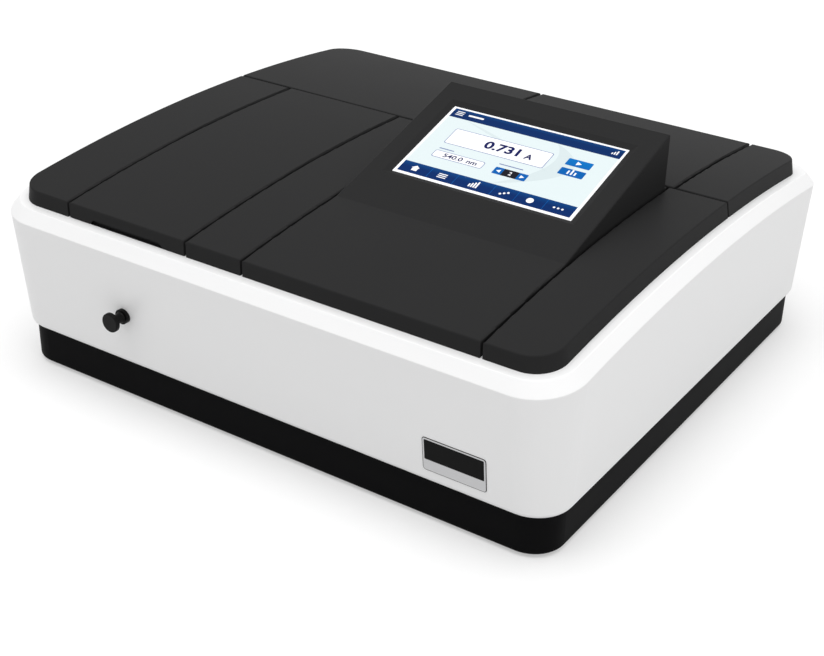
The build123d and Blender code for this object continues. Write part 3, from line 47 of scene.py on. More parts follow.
def empty_surface(name, inputs):
    """A shader group with these inputs and defaults, which puts out colour, gloss and relief."""
    tree = bpy.data.node_groups.new(name, "ShaderNodeTree")
    for socket, value in inputs.items():
        kind = "NodeSocketColor" if socket == "Color" else "NodeSocketFloat"
        made = tree.interface.new_socket(socket, in_out="INPUT", socket_type=kind)
        made.default_value = value
    for socket, kind in (("Color", "NodeSocketColor"), ("Roughness", "NodeSocketFloat"),
                         ("Height", "NodeSocketFloat")):
        tree.interface.new_socket(socket, in_out="OUTPUT", socket_type=kind)
    given = tree.nodes.new("NodeGroupInput")
    result = tree.nodes.new("NodeGroupOutput")
    return tree, given.outputs, result.inputs


def feed(tree, socket, value):
    """Link a socket to another node's output, or set its plain value."""
    if isinstance(value, bpy.types.NodeSocket):
        tree.links.new(value, socket)
    else:
        socket.default_value = value


def maths(tree, operation, *values):
    """The result of one operation on outputs and plain numbers."""
    node = tree.nodes.new("ShaderNodeMath")
    node.operation = operation
    for socket, value in zip(node.inputs, values):
        feed(tree, socket, value)
    return node.outputs[0]


def noise(tree, place, scale, detail=2.0, roughness=0.5):
    """A number that wanders over the surface."""
    node = tree.nodes.new("ShaderNodeTexNoise")
    for socket, value in (("Vector", place), ("Scale", scale), ("Detail", detail),
                          ("Roughness", roughness)):
        feed(tree, node.inputs[socket], value)
    return node.outputs["Fac"]


def toned(tree, color, strength):
    """A colour made lighter or darker by a factor."""
    node = tree.nodes.new("ShaderNodeVectorMath")
    node.operation = "SCALE"
    feed(tree, node.inputs[0], color)
    feed(tree, node.inputs["Scale"], strength)
    return node.outputs[0]


def moulded_surface():
    """Fine spark-eroded grain, with a faint broad drift of tone and gloss over the moulding."""
    tree, given, result = empty_surface("moulded_surface", {
        "Color": (0.5, 0.5, 0.5, 1), "Drift": 0.04, "Roughness": 0.5, "Gloss Drift": 0.04,
        "Grain Scale": 1500.0, "Grain Depth": 0.5})
    place = tree.nodes.new("ShaderNodeTexCoord").outputs["Object"]
    clouds = maths(tree, "SUBTRACT", noise(tree, place, cloud_scale, detail=3.0), 0.5)
    drift = maths(tree, "MULTIPLY_ADD", clouds, given["Drift"], 1.0)
    gloss = maths(tree, "MULTIPLY_ADD", clouds, given["Gloss Drift"], given["Roughness"])
    grain = noise(tree, place, given["Grain Scale"], roughness=0.6)
    feed(tree, result["Color"], toned(tree, given["Color"], drift))
    feed(tree, result["Roughness"], gloss)
    feed(tree, result["Height"], maths(tree, "MULTIPLY", grain, given["Grain Depth"]))
    return tree


moulded = moulded_surface()


def finish(name, group, color, roughness, metallic=0.0, specular=0.5, **values):
    """A material whose colour, gloss and relief come from a surface group with its own values."""
    material = bpy.data.materials.new(name)
    material.use_nodes = True
    tree = material.node_tree
    shader = tree.nodes["Principled BSDF"]
    shader.inputs["Metallic"].default_value = metallic
    shader.inputs["Specular IOR Level"].default_value = specular
    surface = tree.nodes.new("ShaderNodeGroup")
    surface.node_tree = group
    surface.inputs["Color"].default_value = (*color, 1)
    surface.inputs["Roughness"].default_value = roughness
    for words, value in values.items():
        surface.inputs[words.replace("_", " ").title()].default_value = value
    relief = tree.nodes.new("ShaderNodeBump")
    relief.inputs["Distance"].default_value = relief_height * mm
    feed(tree, relief.inputs["Height"], surface.outputs["Height"])
    feed(tree, shader.inputs["Base Color"], surface.outputs["Color"])
    feed(tree, shader.inputs["Roughness"], surface.outputs["Roughness"])
    feed(tree, shader.inputs["Normal"], relief.outputs["Normal"])
    return material


def dress(material, *nodes):
    """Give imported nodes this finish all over."""
    for node in nodes:
        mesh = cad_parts[node].data
        mesh.materials.clear()
        mesh.materials.append(material)
        for face in mesh.polygons:
            face.material_index = 0


rubber = finish("rubber", moulded, (0.022, 0.022, 0.022), 0.75,
                drift=0.5, gloss_drift=0.15, grain_scale=700.0)
dress(rubber, "feet", "lid_seal")

# Base tray: one matt black moulding that carries everything, with vent slots in its floor.
# Its upright walls are grained, and their lower edge is rounded.

tray_black = finish("tray_black", moulded, (0.0045, 0.0045, 0.0048), 0.5, specular=0.02,
                    drift=0.15, gloss_drift=0.08, grain_scale=1300.0)
dress(tray_black, "base_tray")

# Optical bench and mirror stands: cast aluminium, machined where parts are seated.
# The milled faces keep fine parallel cutter lines, as the plated and the anodised parts do.

line_stretch = 0.04
patch_scale = 22.0
line_dark, line_bright = 0.9, 1.08


def rescaled(tree, value, before, after=(0.0, 1.0)):
    """A number taken from one range to another, and held inside it."""
    node = tree.nodes.new("ShaderNodeMapRange")
    feed(tree, node.inputs["Value"], value)
    for socket, number in zip(("From Min", "From Max", "To Min", "To Max"), (*before, *after)):
        node.inputs[socket].default_value = number
    return node.outputs[0]


def cut_metal():
    """Fine parallel tool lines along X, with a little drift in gloss."""
    tree, given, result = empty_surface("cut_metal", {
        "Color": (0.6, 0.6, 0.6, 1), "Roughness": 0.35, "Line Scale": 900.0,
        "Line Depth": 0.4, "Drift": 0.12})
    place = tree.nodes.new("ShaderNodeTexCoord").outputs["Object"]
    stretch = tree.nodes.new("ShaderNodeMapping")
    stretch.inputs["Scale"].default_value = (line_stretch, 1.0, 1.0)
    feed(tree, stretch.inputs["Vector"], place)
    lines = noise(tree, stretch.outputs[0], given["Line Scale"], detail=3.0)
    patches = noise(tree, place, patch_scale)
    gloss = maths(tree, "MULTIPLY_ADD", patches, given["Drift"], given["Roughness"])
    shade = rescaled(tree, lines, (0.0, 1.0), (line_dark, line_bright))
    feed(tree, result["Color"], toned(tree, given["Color"], shade))
    feed(tree, result["Roughness"], gloss)
    feed(tree, result["Height"], maths(tree, "MULTIPLY", lines, given["Line Depth"]))
    return tree


milled = cut_metal()
cast_aluminium = finish("cast_aluminium", milled, (0.62, 0.63, 0.64), 0.38, metallic=1.0)
plated_steel = finish("plated_steel", milled, (0.56, 0.57, 0.58), 0.3, metallic=1.0,
                      line_depth=0.2, line_scale=1600.0)
dark_anodised = finish("dark_anodised", milled, (0.035, 0.036, 0.04), 0.42, metallic=0.7,
                       line_depth=0.25, line_scale=1200.0)
dress(cast_aluminium, "optical_bench", "mirror_stands")
dress(plated_steel, "screws", "hinge_bracket", "hinge_pins", "fan_guard", "grating_table")
dress(dark_anodised, "filter_wheel", "slit_plates")

# Monochromator: a cast box with a folded lid, blackened against stray light.
# A brass sector and pinion turn the grating, which is a ruled, mirror-coated block.

blackened_box = finish("blackened_box", moulded, (0.028, 0.028, 0.03), 0.6,
                       drift=0.2, grain_scale=500.0, grain_depth=0.9)
gear_brass = finish("gear_brass", milled, (0.72, 0.53, 0.24), 0.3, metallic=1.0, line_depth=0.15)
dress(blackened_box, "mono_housing", "mono_cover", "detectors")
dress(gear_brass, "sector_gear", "drive_pinion", "grating_bearing")


def coated_mirror(name, color, ruling):
    """Front-coated glass; a ruled one gets very fine upright lines."""
    return finish(name, milled, color, 0.04, metallic=1.0,
                  line_scale=ruling, line_depth=0.02, drift=0.02)


mirror_coat = coated_mirror("mirror_coat", (0.9, 0.9, 0.91), 200.0)
grating_coat = coated_mirror("grating_coat", (0.82, 0.84, 0.92), 6000.0)
dress(mirror_coat, "fixed_mirrors", "source_mirror")
dress(grating_coat, "diffraction_grating")

# Stepper motors, power supply and display module: closed cans of dark or plated steel.
# The boards are green laminate with a satin varnish.

motor_can = finish("motor_can", milled, (0.2, 0.2, 0.21), 0.4, metallic=1.0, line_depth=0.2)
board_green = finish("board_green", moulded, (0.012, 0.12, 0.05), 0.32,
                     drift=0.3, gloss_drift=0.2, grain_scale=300.0)
dress(motor_can, "bench_motors", "filter_motor")
dress(plated_steel, "power_supply", "lcd_module")
dress(board_green, "circuit_boards", "display_board")

# Lamp house: a folded steel hood with louvres, heat-darkened, over two lamps in ceramic sockets.
# The envelopes, the filters, the beam splitter and the compartment's windows are polished quartz.

quartz_bend = 1.46
hood_steel = finish("hood_steel", moulded, (0.3, 0.3, 0.31), 0.42, metallic=0.6,
                    drift=0.35, gloss_drift=0.2, grain_scale=260.0)
ceramic = finish("ceramic", moulded, (0.78, 0.76, 0.7), 0.45, drift=0.1, grain_scale=400.0)
dress(hood_steel, "lamp_house")
dress(ceramic, "lamp_sockets")


def clear_glass(name, color, roughness):
    """Polished glass whose faint smears drift in gloss."""
    material = finish(name, moulded, color, roughness,
                      drift=0.02, gloss_drift=0.03, grain_depth=0.0)
    shader = material.node_tree.nodes["Principled BSDF"]
    shader.inputs["Transmission Weight"].default_value = 1.0
    shader.inputs["IOR"].default_value = quartz_bend
    return material


quartz = clear_glass("quartz", (0.95, 0.97, 0.98), 0.03)
dress(quartz, "compartment_windows", "filter_glasses", "beam_splitter", "deuterium_lamp",
      "tungsten_lamp")

# Sample compartment: a deep black tub with a seal round its mouth, open to a hinged lid.
# Inside, a black anodised carriage with four square pockets slides on a ridged rail.

tub_black = finish("tub_black", moulded, (0.012, 0.012, 0.0125), 0.6, specular=0.2,
                   drift=0.2, gloss_drift=0.1, grain_scale=900.0, grain_depth=0.8)
dress(tub_black, "compartment_tub")
dress(dark_anodised, "cell_carriage", "reference_holder", "carriage_rail")

# Pull rod: bright ground steel in a black flanged bushing, with a turned plastic knob.
# The knob's flat head is satin and its rim catches the light.

knob_black = finish("knob_black", moulded, (0.004, 0.004, 0.004), 0.36, specular=0.1,
                    drift=0.1, gloss_drift=0.08, grain_scale=2200.0, grain_depth=0.25)
dress(plated_steel, "pull_rod")
dress(knob_black, "rod_knob", "rod_bushing")

# Back wall: a grey painted steel panel screwed into the shell's window.
# It carries the fan, the mains inlet, the rocker switch, the fuse and the data sockets.

panel_paint = finish("panel_paint", moulded, (0.34, 0.35, 0.36), 0.48,
                     drift=0.06, gloss_drift=0.08, grain_scale=850.0, grain_depth=0.9)
socket_black = finish("socket_black", moulded, (0.016, 0.016, 0.017), 0.4,
                      drift=0.12, gloss_drift=0.08, grain_scale=1800.0)
dress(panel_paint, "rear_panel")
dress(socket_black, "fan_frame", "fan_rotor", "mains_inlet", "switch_frame", "power_rocker",
      "display_frame")
dress(plated_steel, "rear_ports")

# Main shell: one large white moulding, drafted outwards to a rounded, chamfered shoulder.
# Its satin surface is almost without texture.

shell_white = finish("shell_white", moulded, (0.86, 0.86, 0.862), 0.36,
                     drift=0.012, gloss_drift=0.03, grain_scale=1400.0, grain_depth=0.12)
dress(shell_white, "main_shell")

# Cover frame: steel rails, painted black so that nothing bright shows through the seams.
# They run under the seams and carry the covers' edges.

frame_black = finish("frame_black", moulded, (0.004, 0.004, 0.004), 0.7, specular=0.02,
                     drift=0.2, grain_scale=700.0)
dress(frame_black, "cover_frame")

# Covers: eight charcoal mouldings with a fine grain, flush along narrow seams on one arch.
# The hinged lid is one of them, and so is the screen cover with its sloped wedge.
# Their edges are slightly rounded, so that they catch the light.

cover_edge = 0.45
edge_rings = 2
sharp_angle = 50
cover_charcoal = finish("cover_charcoal", moulded, (0.0218, 0.0218, 0.0221), 0.46, specular=0.02,
                        drift=0.1, gloss_drift=0.06, grain_scale=1600.0, grain_depth=0.7)
covers = ("left_cover", "mid_cover", "right_cover", "rear_left_cover", "rear_center_cover",
          "rear_right_cover", "sample_lid", "screen_cover")
dress(cover_charcoal, *covers)
for cover in covers:
    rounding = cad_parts[cover].modifiers.new("round_edges", "BEVEL")
    rounding.width = cover_edge * mm
    rounding.segments = edge_rings
    rounding.limit_method = "ANGLE"
    rounding.angle_limit = radians(sharp_angle)

# Touch glass: a clear plate behind the recess, under the lit page's block.
# It is bonded to the display module, and the clip frame holds its edge.

touch_clear = clear_glass("touch_clear", (0.98, 0.99, 1.0), 0.05)
dress(touch_clear, "touch_glass")

# Screen bezel: a sloped ring round the page, of the same plastic as the screen cover.
# Its sizes are in the plane of the sloped screen, upwards from the foot of the wedge.

screen_y, screen_z = -120.12, 193.572
screen_slope = radians(16.4358)
page_wide, page_high = 181.0, 107.0
page_left, page_low = -page_wide / 2, 53.0
layer = 0.03
recess_middle = page_low + page_high / 2
recess_depth = 2.5
bezel_width, bezel_lap, bezel_back = 6.0, 0.05, 3.35
inner_wide, inner_high = page_wide / 2 - bezel_lap, page_high / 2 - bezel_lap


def middle_x(node):
    """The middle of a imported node's width, in millimetres."""
    low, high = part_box(node)
    return (low[0] + high[0]) / 2 / mm


def make_object(name, shape, material, body, place=Matrix.Identity(4)):
    """Turn a bmesh into a finished object that rides on a body, with its place in its mesh."""
    mesh = bpy.data.meshes.new(name)
    shape.transform(place)
    shape.to_mesh(mesh)
    shape.free()
    made = bpy.data.objects.new(name, mesh)
    bpy.context.collection.objects.link(made)
    made.data.materials.append(material)
    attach(made, body)


def rectangle(shape, half_wide, half_high, level):
    """Add a loop of four edges to a bmesh, about the middle of the recess."""
    corners = [shape.verts.new((x * half_wide * mm, (recess_middle + y * half_high) * mm,
                                level * mm))
               for x, y in ((-1, -1), (1, -1), (1, 1), (-1, 1))]
    return [shape.edges.new(pair) for pair in zip(corners, corners[1:] + corners[:1])]


screen_place = (Matrix.Translation((middle_x("screen_cover") * mm, screen_y * mm, screen_z * mm))
                @ Matrix.Rotation(screen_slope, 4, "X"))
bezel = bmesh.new()
mouth = rectangle(bezel, inner_wide + bezel_width, inner_high + bezel_width, -layer)
inner_rim = rectangle(bezel, inner_wide, inner_high, -recess_depth)
back_rim = rectangle(bezel, inner_wide, inner_high, -bezel_back)
for first, second in ((mouth, inner_rim), (inner_rim, back_rim), (back_rim, mouth)):
    bmesh.ops.bridge_loops(bezel, edges=first + second)
bmesh.ops.recalc_face_normals(bezel, faces=bezel.faces)
make_object("screen_bezel", bezel, cover_charcoal, "case", screen_place)

# Touch display: a lit page on a black block, at the foot of the recess.
# The page is thin coloured layers: bars, fields, buttons, plain figures and pictograms.
# A box on it is its left, right, low and high edge, in millimetres from the lower left corner.

page_glow = 0.62
corner_steps = 5
page_box = (0, page_wide, 0, page_high)


def add_box(shape, x0, x1, y0, y1, z0, z1):
    """Add a box to a bmesh, with its edges in millimetres, and give its corners."""
    corners = bmesh.ops.create_cube(shape, size=1.0)["verts"]
    bmesh.ops.scale(shape, vec=((x1 - x0) * mm, (y1 - y0) * mm, (z1 - z0) * mm), verts=corners)
    bmesh.ops.translate(shape, vec=((x0 + x1) / 2 * mm, (y0 + y1) / 2 * mm, (z0 + z1) / 2 * mm),
                        verts=corners)
    return corners


def rounded_plate(shape, x0, x1, y0, y1, level, corner, thick):
    """Add one flat plate to a bmesh, with round corners unless their radius is nought."""
    corners = add_box(shape, x0, x1, y0, y1, level, level + thick)
    if corner > 0:
        uprights = [edge for vert in corners for edge in vert.link_edges
                    if edge.other_vert(vert).co.z - vert.co.z > thick * mm / 2]
        bmesh.ops.bevel(shape, geom=uprights, offset=corner * mm, affect="EDGES",
                        segments=corner_steps, profile=0.5, material=-1)


def page_plates(name, material, level, corner, *boxes, thick=layer, slot="screen_glass"):
    """One object of flat plates, each given by its box on the page."""
    shape = bmesh.new()
    for left, right, low, high in boxes:
        rounded_plate(shape, page_left + left, page_left + right, page_low + low, page_low + high,
                      level - recess_depth, corner, thick)
    make_object(name, shape, material, "case", screen_place)


def grown(box, margin):
    """A box made larger by a margin on every side."""
    left, right, low, high = box
    return left - margin, right + margin, low - margin, high + margin


def lit_color(name, color):
    """A colour on the lit page: part painted, part glowing, with a soft drift of brightness."""
    material = finish(name, moulded, color, 0.35, specular=0.04,
                      drift=0.05, gloss_drift=0.0, grain_depth=0.0)
    tree = material.node_tree
    shader = tree.nodes["Principled BSDF"]
    feed(tree, shader.inputs["Emission Color"], shader.inputs["Base Color"].links[0].from_socket)
    shader.inputs["Emission Strength"].default_value = page_glow
    return material


def bar_color(name, heights, dark, bright):
    """A colour that runs from dark to bright between two heights on the page."""
    material = lit_color(name, dark)
    tree = material.node_tree
    shader = tree.nodes["Principled BSDF"]
    apart = tree.nodes.new("ShaderNodeSeparateXYZ")
    feed(tree, apart.inputs[0], tree.nodes.new("ShaderNodeTexCoord").outputs["Object"])
    rise = [(screen_place @ Vector((0, (page_low + y) * mm, 0))).z for y in heights]
    mix = tree.nodes.new("ShaderNodeMix")
    mix.data_type = "RGBA"
    mix.inputs["A"].default_value = (*dark, 1)
    mix.inputs["B"].default_value = (*bright, 1)
    feed(tree, mix.inputs["Factor"], rescaled(tree, apart.outputs["Z"], rise))
    feed(tree, shader.inputs["Base Color"], mix.outputs["Result"])
    feed(tree, shader.inputs["Emission Color"], mix.outputs["Result"])
    return material


header = (3.0, 178.6, 91.7, 104.7)
footer = (3.0, 177.6, 3.3, 18.5)
button_shade = (53.0, 78.0)
page_white = lit_color("page_white", (0.62, 0.62, 0.63))
page_pale = lit_color("page_pale", (0.45, 0.505, 0.513))
page_swoosh = lit_color("page_swoosh", (0.405, 0.46, 0.47))
outline_blue = lit_color("outline_blue", (0.12, 0.15, 0.27))
digit_navy = lit_color("digit_navy", (0.004, 0.006, 0.06))
header_navy = bar_color("header_navy", header[2:], (0.0, 0.014, 0.075), (0.0, 0.055, 0.18))
footer_navy = bar_color("footer_navy", footer[2:], (0.0, 0.014, 0.08), (0.0, 0.05, 0.18))
button_blue = bar_color("button_blue", button_shade, (0.0, 0.07, 0.26), (0.0, 0.12, 0.36))
selector_black = lit_color("selector_black", (0.006, 0.006, 0.01))

block_thick, block_margin = 2.5, 1.3
edge_margin = 0.1
open_area = (2.9, 178.2, 18.0, 92.0)
reading_field = (21.1, 121.9, 54.7, 76.7)
entry_field = (20.9, 71.9, 33.2, 41.9)
field_corner, outline_corner, outline_width = 1.8, 2.2, 0.7
button_corner = 1.0
start_button = (137.8, 162.0, 67.3, 77.0)
chart_button = (137.8, 162.0, 53.4, 63.1)
selector_back = (84.2, 94.0, 31.6, 41.2)
selector_middle = (93.2, 108.2, 31.6, 41.2)
selector_next = (107.4, 117.4, 31.6, 41.2)
entry_caption = (21.6, 37.0, 45.2, 46.4)
selector_caption = (84.4, 108.6, 45.2, 46.4)
caption_corner = 0.3
page_level, bar_level, field_level, mark_level, top_level = [k * layer for k in range(1, 6)]

page_plates("display_block", selector_black, -block_thick, 0, grown(page_box, -block_margin),
            thick=block_thick, slot="black_plastic")
page_plates("display_edge", page_white, 0, 0, grown(page_box, -edge_margin))
page_plates("display_page", page_pale, page_level, 0, open_area)
page_plates("display_header", header_navy, bar_level, 0, header)
page_plates("display_footer", footer_navy, bar_level, 0, footer)
page_plates("display_outlines", outline_blue, bar_level, outline_corner,
            grown(reading_field, outline_width), grown(entry_field, outline_width))
page_plates("display_fields", page_white, field_level, field_corner, reading_field, entry_field)
page_plates("display_buttons", button_blue, field_level, button_corner, start_button, chart_button)
page_plates("display_selector_ends", button_blue, field_level, button_corner,
            selector_back, selector_next)
page_plates("display_selector_middle", selector_black, mark_level, 0, selector_middle)
page_plates("display_captions", outline_blue, bar_level, caption_corner,
            entry_caption, selector_caption)

# Page figures: a reading with its unit, a wavelength with its own, and the selector's digit.
# They are drawn by the built-in font, and each line is fitted to a box on the page.

heavy, medium, light = 0.035, 0.02, 0.01
letter_weld = 0.0001


def page_point(x, y, level):
    """A point of the page, in metres in the screen's own plane."""
    return Vector(((page_left + x) * mm, (page_low + y) * mm, (level - recess_depth) * mm))


def page_text(name, figures, box, material, level, weight):
    """A line of plain figures, one layer thick."""
    left, right, low, high = box
    curve = bpy.data.curves.new(name, "FONT")
    curve.body = figures
    curve.offset = weight
    curve.extrude = layer
    drawn = bpy.data.objects.new(name + "_drawn", curve)
    bpy.context.collection.objects.link(drawn)
    bpy.context.view_layer.update()
    graph = bpy.context.evaluated_depsgraph_get()
    mesh = bpy.data.meshes.new_from_object(drawn.evaluated_get(graph))
    bpy.data.objects.remove(drawn)
    shape = bmesh.new()
    shape.from_mesh(mesh)
    bpy.data.meshes.remove(mesh)
    bmesh.ops.remove_doubles(shape, verts=shape.verts, dist=letter_weld)
    spans = []
    for axis in range(3):
        places = [vert.co[axis] for vert in shape.verts]
        spans.append((min(places), max(places) - min(places)))
    for vert in shape.verts:
        across, up, out = [(vert.co[axis] - start) / span
                           for axis, (start, span) in enumerate(spans)]
        vert.co = page_point(left + (right - left) * across, low + (high - low) * up,
                             level + layer * out)
    make_object(name, shape, material, "case", screen_place)


page_text("reading_figures", "0.731", (57.5, 93.3, 60.5, 71.7), digit_navy, mark_level, heavy)
page_text("reading_unit", "A", (99.5, 107.5, 60.5, 67.8), digit_navy, mark_level, heavy)
page_text("field_figures", "540.0", (31.0, 51.0, 34.8, 40.4), digit_navy, mark_level, medium)
page_text("field_unit", "nm", (55.5, 66.0, 34.8, 38.8), digit_navy, mark_level, medium)
page_text("selector_figure", "2", (99.3, 102.3, 34.2, 39.0), page_white, top_level, light)

# Page pictograms: thin flat marks on the bars and buttons, and two pale bands behind them.
# Each mark is a closed outline on the page, which is extruded by one layer.

sweep_drop = 0.01
list_step = 2.4
header_mark_y, menu_x, title_x = 98.7, 11.0, 28.4
signal_x, signal_foot = 171.1, 96.1
button_mark_x, start_mark_y, chart_mark_foot = 149.9, 72.2, 55.7
back_x, next_x = 88.6, 112.9
selector_arrow_y, selector_arrow_size = 36.4, 4.2
tab_edges = (33.3, 60.0, 98.3, 121.7, 150.0)
tab_edge_width, tab_edge_margin = 0.35, 0.4
tab_y, tab_chart_foot = 10.6, 7.0
house_x, list_x, chart_x, curve_x, spot_x, more_x = 18.0, 46.5, 79.0, 110.0, 135.5, 163.0


def page_shapes(name, material, level, *outlines):
    """One object of thin flat marks."""
    shape = bmesh.new()
    for outline in outlines:
        foot = shape.faces.new([shape.verts.new(page_point(x, y, level)) for x, y in outline])
        grown_parts = bmesh.ops.extrude_face_region(shape, geom=[foot])["geom"]
        top = [part for part in grown_parts if isinstance(part, bmesh.types.BMVert)]
        bmesh.ops.translate(shape, vec=(0, 0, layer * mm), verts=top)
    bmesh.ops.recalc_face_normals(shape, faces=shape.faces)
    make_object(name, shape, material, "case", screen_place)


def sweep(start, control, end, width, points=20):
    """A curved band that thins towards both of its ends."""
    left_side, right_side = [], []
    for k in range(points + 1):
        t = k / points
        x, y = [(1 - t) ** 2 * a + 2 * t * (1 - t) * b + t ** 2 * c
                for a, b, c in zip(start, control, end)]
        lean = width * t * (1 - t) * 2
        right_side.append((x + lean, y))
        left_side.append((x - lean, y))
    return right_side[:-1] + left_side[:0:-1]


def bar(x, y, wide, high):
    """An upright rectangle about a point."""
    return [(x - wide / 2, y - high / 2), (x + wide / 2, y - high / 2),
            (x + wide / 2, y + high / 2), (x - wide / 2, y + high / 2)]


def arrow(x, y, size, way):
    """A triangle that points left, by a way of -1, or right, by 1."""
    return [(x - way * size / 2, y - size / 2), (x + way * size / 2, y),
            (x - way * size / 2, y + size / 2)]


def disc(x, y, radius, points=24):
    """A round spot."""
    return [(x + radius * cos(2 * pi * k / points), y + radius * sin(2 * pi * k / points))
            for k in range(points)]


def house(x, y):
    """A wall with a pointed roof."""
    wall_wide, wall_high, wall_drop = 5.6, 3.6, 1.4
    roof_half, roof_foot, roof_top = 4.2, 0.6, 4.2
    roof = [(x - roof_half, y + roof_foot), (x + roof_half, y + roof_foot), (x, y + roof_top)]
    return [bar(x, y - wall_drop, wall_wide, wall_high), roof]


def list_lines(x, y, wide, thick):
    """Three level lines, one above the other."""
    return [bar(x, y + list_step * k, wide, thick) for k in (-1, 0, 1)]


def chart(x, foot, step, wide, heights):
    """A row of bars that stand on one foot line."""
    first = x - step * (len(heights) - 1) / 2
    return [bar(first + step * k, foot + high / 2, wide, high) for k, high in enumerate(heights)]


def dots(x, y, step, rise, radius):
    """Three spots in a row that may rise to the right."""
    return [disc(x + step * k, y + rise * k, radius) for k in (-1, 0, 1)]


page_shapes("page_sweeps", page_swoosh, bar_level - sweep_drop,
            sweep((118.0, 91.6), (168.0, 62.0), (92.0, 18.8), 22.0),
            sweep((20.0, 91.6), (70.0, 78.0), (128.0, 52.0), 10.0))
page_shapes("selector_arrows", page_white, mark_level,
            arrow(back_x, selector_arrow_y, selector_arrow_size, -1),
            arrow(next_x, selector_arrow_y, selector_arrow_size, 1))
page_shapes("button_marks", page_white, mark_level,
            arrow(button_mark_x, start_mark_y, 5.0, 1),
            *chart(button_mark_x, chart_mark_foot, 3.5, 1.6, (5.0, 7.0, 4.0)))
page_shapes("header_marks", page_white, field_level,
            *list_lines(menu_x, header_mark_y, 8.0, 1.0), bar(title_x, header_mark_y, 16.0, 2.2),
            *chart(signal_x, signal_foot, 2.2, 1.3, (2.2, 4.0, 5.8)))
page_shapes("tab_edges", button_blue, field_level,
            *[bar(x, (footer[2] + footer[3]) / 2, tab_edge_width,
                  footer[3] - footer[2] - 2 * tab_edge_margin) for x in tab_edges])
page_shapes("tab_marks", page_white, field_level,
            *house(house_x, tab_y), *list_lines(list_x, tab_y, 9.0, 1.1),
            *chart(chart_x, tab_chart_foot, 2.4, 1.5, (4.0, 5.6, 7.2, 8.8)),
            *dots(curve_x, tab_y, 3.2, 1.8, 1.2), disc(spot_x, tab_y, 3.4),
            *dots(more_x, tab_y, 4.0, 0.0, 1.1))

# Notch shade: painted shade, a thin black sheet in the shell behind the lid's finger notch.
# It stands in for the shade inside the notch, as a folded strip on the shell's ledge and on its
# rim.

shade_half = 42.4
shade_left, shade_right = middle_x("sample_lid") - shade_half, middle_x("sample_lid") + shade_half
shade_front, shade_back = -249.2, -245.55
ledge_z = 166.62
shade_high, shade_thick = 6.5, 0.12
shade_sheet = bmesh.new()
add_box(shade_sheet, shade_left, shade_right, shade_front, shade_back, ledge_z, ledge_z + shade_thick)
add_box(shade_sheet, shade_left, shade_right, shade_back - shade_thick, shade_back,
        ledge_z + shade_thick, ledge_z + shade_high)
# The painted shade sheet takes the tub's black and rides on the case.
make_object("notch_painted_shade", shade_sheet, tub_black, "case")

# Badge: a small black plate with a bright rim and a bright foot, stuck to the front face.
# It is three thin layers, each a little proud of the one behind it.

badge_black = finish("badge_black", moulded, (0.002, 0.002, 0.002), 0.3, specular=0.06,
                     drift=0.1, grain_scale=1200.0, grain_depth=0.2)
badge_silver = finish("badge_silver", moulded, (0.62, 0.62, 0.63), 0.35, grain_depth=0.1)
badge_x, badge_z = 201.9, 68.9
badge_wide, badge_high, badge_thick = 59.3, 32.6, 0.4
front_draft = 0.115
front_foot_y, front_foot_z = -252.417, 40.3
badge_y = front_foot_y - front_draft * (badge_z - front_foot_z)
badge_place = (Matrix.Translation((badge_x * mm, badge_y * mm, badge_z * mm))
               @ Matrix.Rotation(atan(front_draft) + radians(90), 4, "X"))


def badge_plate(name, margin, foot, level, corner, material):
    """One layer of the badge, set in by a margin, and by the foot's height at its lower edge."""
    plate = bmesh.new()
    rounded_plate(plate, margin - badge_wide / 2, badge_wide / 2 - margin,
                  foot - badge_high / 2, badge_high / 2 - margin, level, corner, badge_thick)
    make_object(name, plate, material, "case", badge_place)


badge_plate("badge_outline", 0, 0, 0.02, 2.6, badge_black)
badge_plate("badge_rim", 0.5, 0.5, 0.1, 2.2, badge_silver)
badge_plate("badge_field", 1.9, 11.1, 0.2, 1.0, badge_black)

# Studio: a pale floor under soft overhead light, with white all round.
# The floor glows a little for rays that see it, so that it stays white and keeps the shadow.

floor_size = 8.0
floor_tone, floor_roughness = 0.62, 0.9
near_glow, far_glow = 0.37, 0.6
glow_starts, glow_ends = 0.55, 1.8
air_light, air_seen = 0.74, 1.0
lamp_aim = (0, 0, 0.1)


def seen_directly(tree):
    """One for camera, glossy and transmission rays, else nought."""
    path = tree.nodes.new("ShaderNodeLightPath").outputs
    seen = maths(tree, "ADD", maths(tree, "ADD", path["Is Camera Ray"], path["Is Glossy Ray"]),
                 path["Is Transmission Ray"])
    seen.node.use_clamp = True
    return seen


floor_shape = bmesh.new()
bmesh.ops.create_grid(floor_shape, x_segments=1, y_segments=1, size=floor_size)
floor_mesh = bpy.data.meshes.new("studio_floor")
floor_shape.to_mesh(floor_mesh)
floor_shape.free()
floor = bpy.data.objects.new("studio_floor", floor_mesh)
bpy.context.collection.objects.link(floor)
floor_pale = bpy.data.materials.new("floor_pale")
floor_pale.use_nodes = True
floor_tree = floor_pale.node_tree
floor_shader = floor_tree.nodes["Principled BSDF"]
floor_shader.inputs["Roughness"].default_value = floor_roughness
floor_shader.inputs["Specular IOR Level"].default_value = 0.0
floor_shader.inputs["Base Color"].default_value = (floor_tone, floor_tone, floor_tone, 1)
floor_shader.inputs["Emission Color"].default_value = (1, 1, 1, 1)
distance = floor_tree.nodes.new("ShaderNodeVectorMath")
distance.operation = "LENGTH"
feed(floor_tree, distance.inputs[0], floor_tree.nodes.new("ShaderNodeTexCoord").outputs["Object"])
glow = rescaled(floor_tree, distance.outputs["Value"], (glow_starts, glow_ends),
                (near_glow, far_glow))
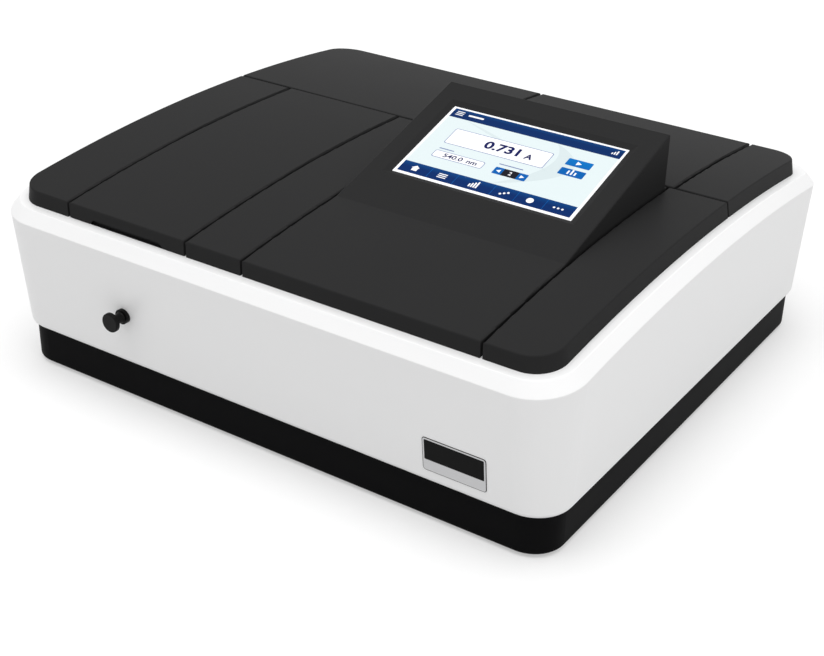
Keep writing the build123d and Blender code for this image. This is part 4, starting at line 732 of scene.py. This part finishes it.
feed(floor_tree, floor_shader.inputs["Emission Strength"],
     maths(floor_tree, "MULTIPLY", seen_directly(floor_tree), glow))
floor.data.materials.append(floor_pale)

world = bpy.data.worlds.new("studio_air")
bpy.context.scene.world = world
world.use_nodes = True
air_tree = world.node_tree
air = air_tree.nodes["Background"]
air.inputs["Color"].default_value = (1, 1, 1, 1)
feed(air_tree, air.inputs["Strength"],
     rescaled(air_tree, seen_directly(air_tree), (0.0, 1.0), (air_light, air_seen)))


def soft_lamp(name, place, size, power):
    """A square studio lamp that faces the instrument."""
    lamp = bpy.data.lights.new(name, "AREA")
    lamp.shape = "SQUARE"
    lamp.size = size
    lamp.energy = power
    made = bpy.data.objects.new(name, lamp)
    bpy.context.collection.objects.link(made)
    made.location = place
    made.rotation_euler = (Vector(lamp_aim) - Vector(place)).to_track_quat("-Z", "Y").to_euler()


soft_lamp("overhead", (0.1, -0.45, 2.15), 2.0, 26.0)
soft_lamp("right_fill", (2.0, -0.4, 1.0), 1.5, 3.5)

# Camera: the photograph's view, from the front right and above.
# Its turn, tilt, roll and lens were fitted to the corners of the instrument.

turn, tilt, roll = radians(32.8824), radians(28.563), radians(1.6138)
lens_length, sensor_width, sideways_shift = 65.734, 36.0, -0.009
aim = Vector((-0.004425, 0.007883, 0.007727))
camera_distance = 1.49829

back = Vector((sin(turn) * cos(tilt), -cos(turn) * cos(tilt), sin(tilt)))
level_right = Vector((cos(turn), sin(turn), 0))
level_up = back.cross(level_right)
right = cos(roll) * level_right + sin(roll) * level_up
up = cos(roll) * level_up - sin(roll) * level_right
camera_data = bpy.data.cameras.new("camera")
camera_data.lens = lens_length
camera_data.sensor_width = sensor_width
camera_data.shift_x = sideways_shift
camera = bpy.data.objects.new("camera", camera_data)
bpy.context.collection.objects.link(camera)
camera.matrix_world = (Matrix.Translation(aim + back * camera_distance)
                       @ Matrix((right, up, back)).transposed().to_4x4())
bpy.context.scene.camera = camera
bpy.context.scene.view_settings.view_transform = "Standard"
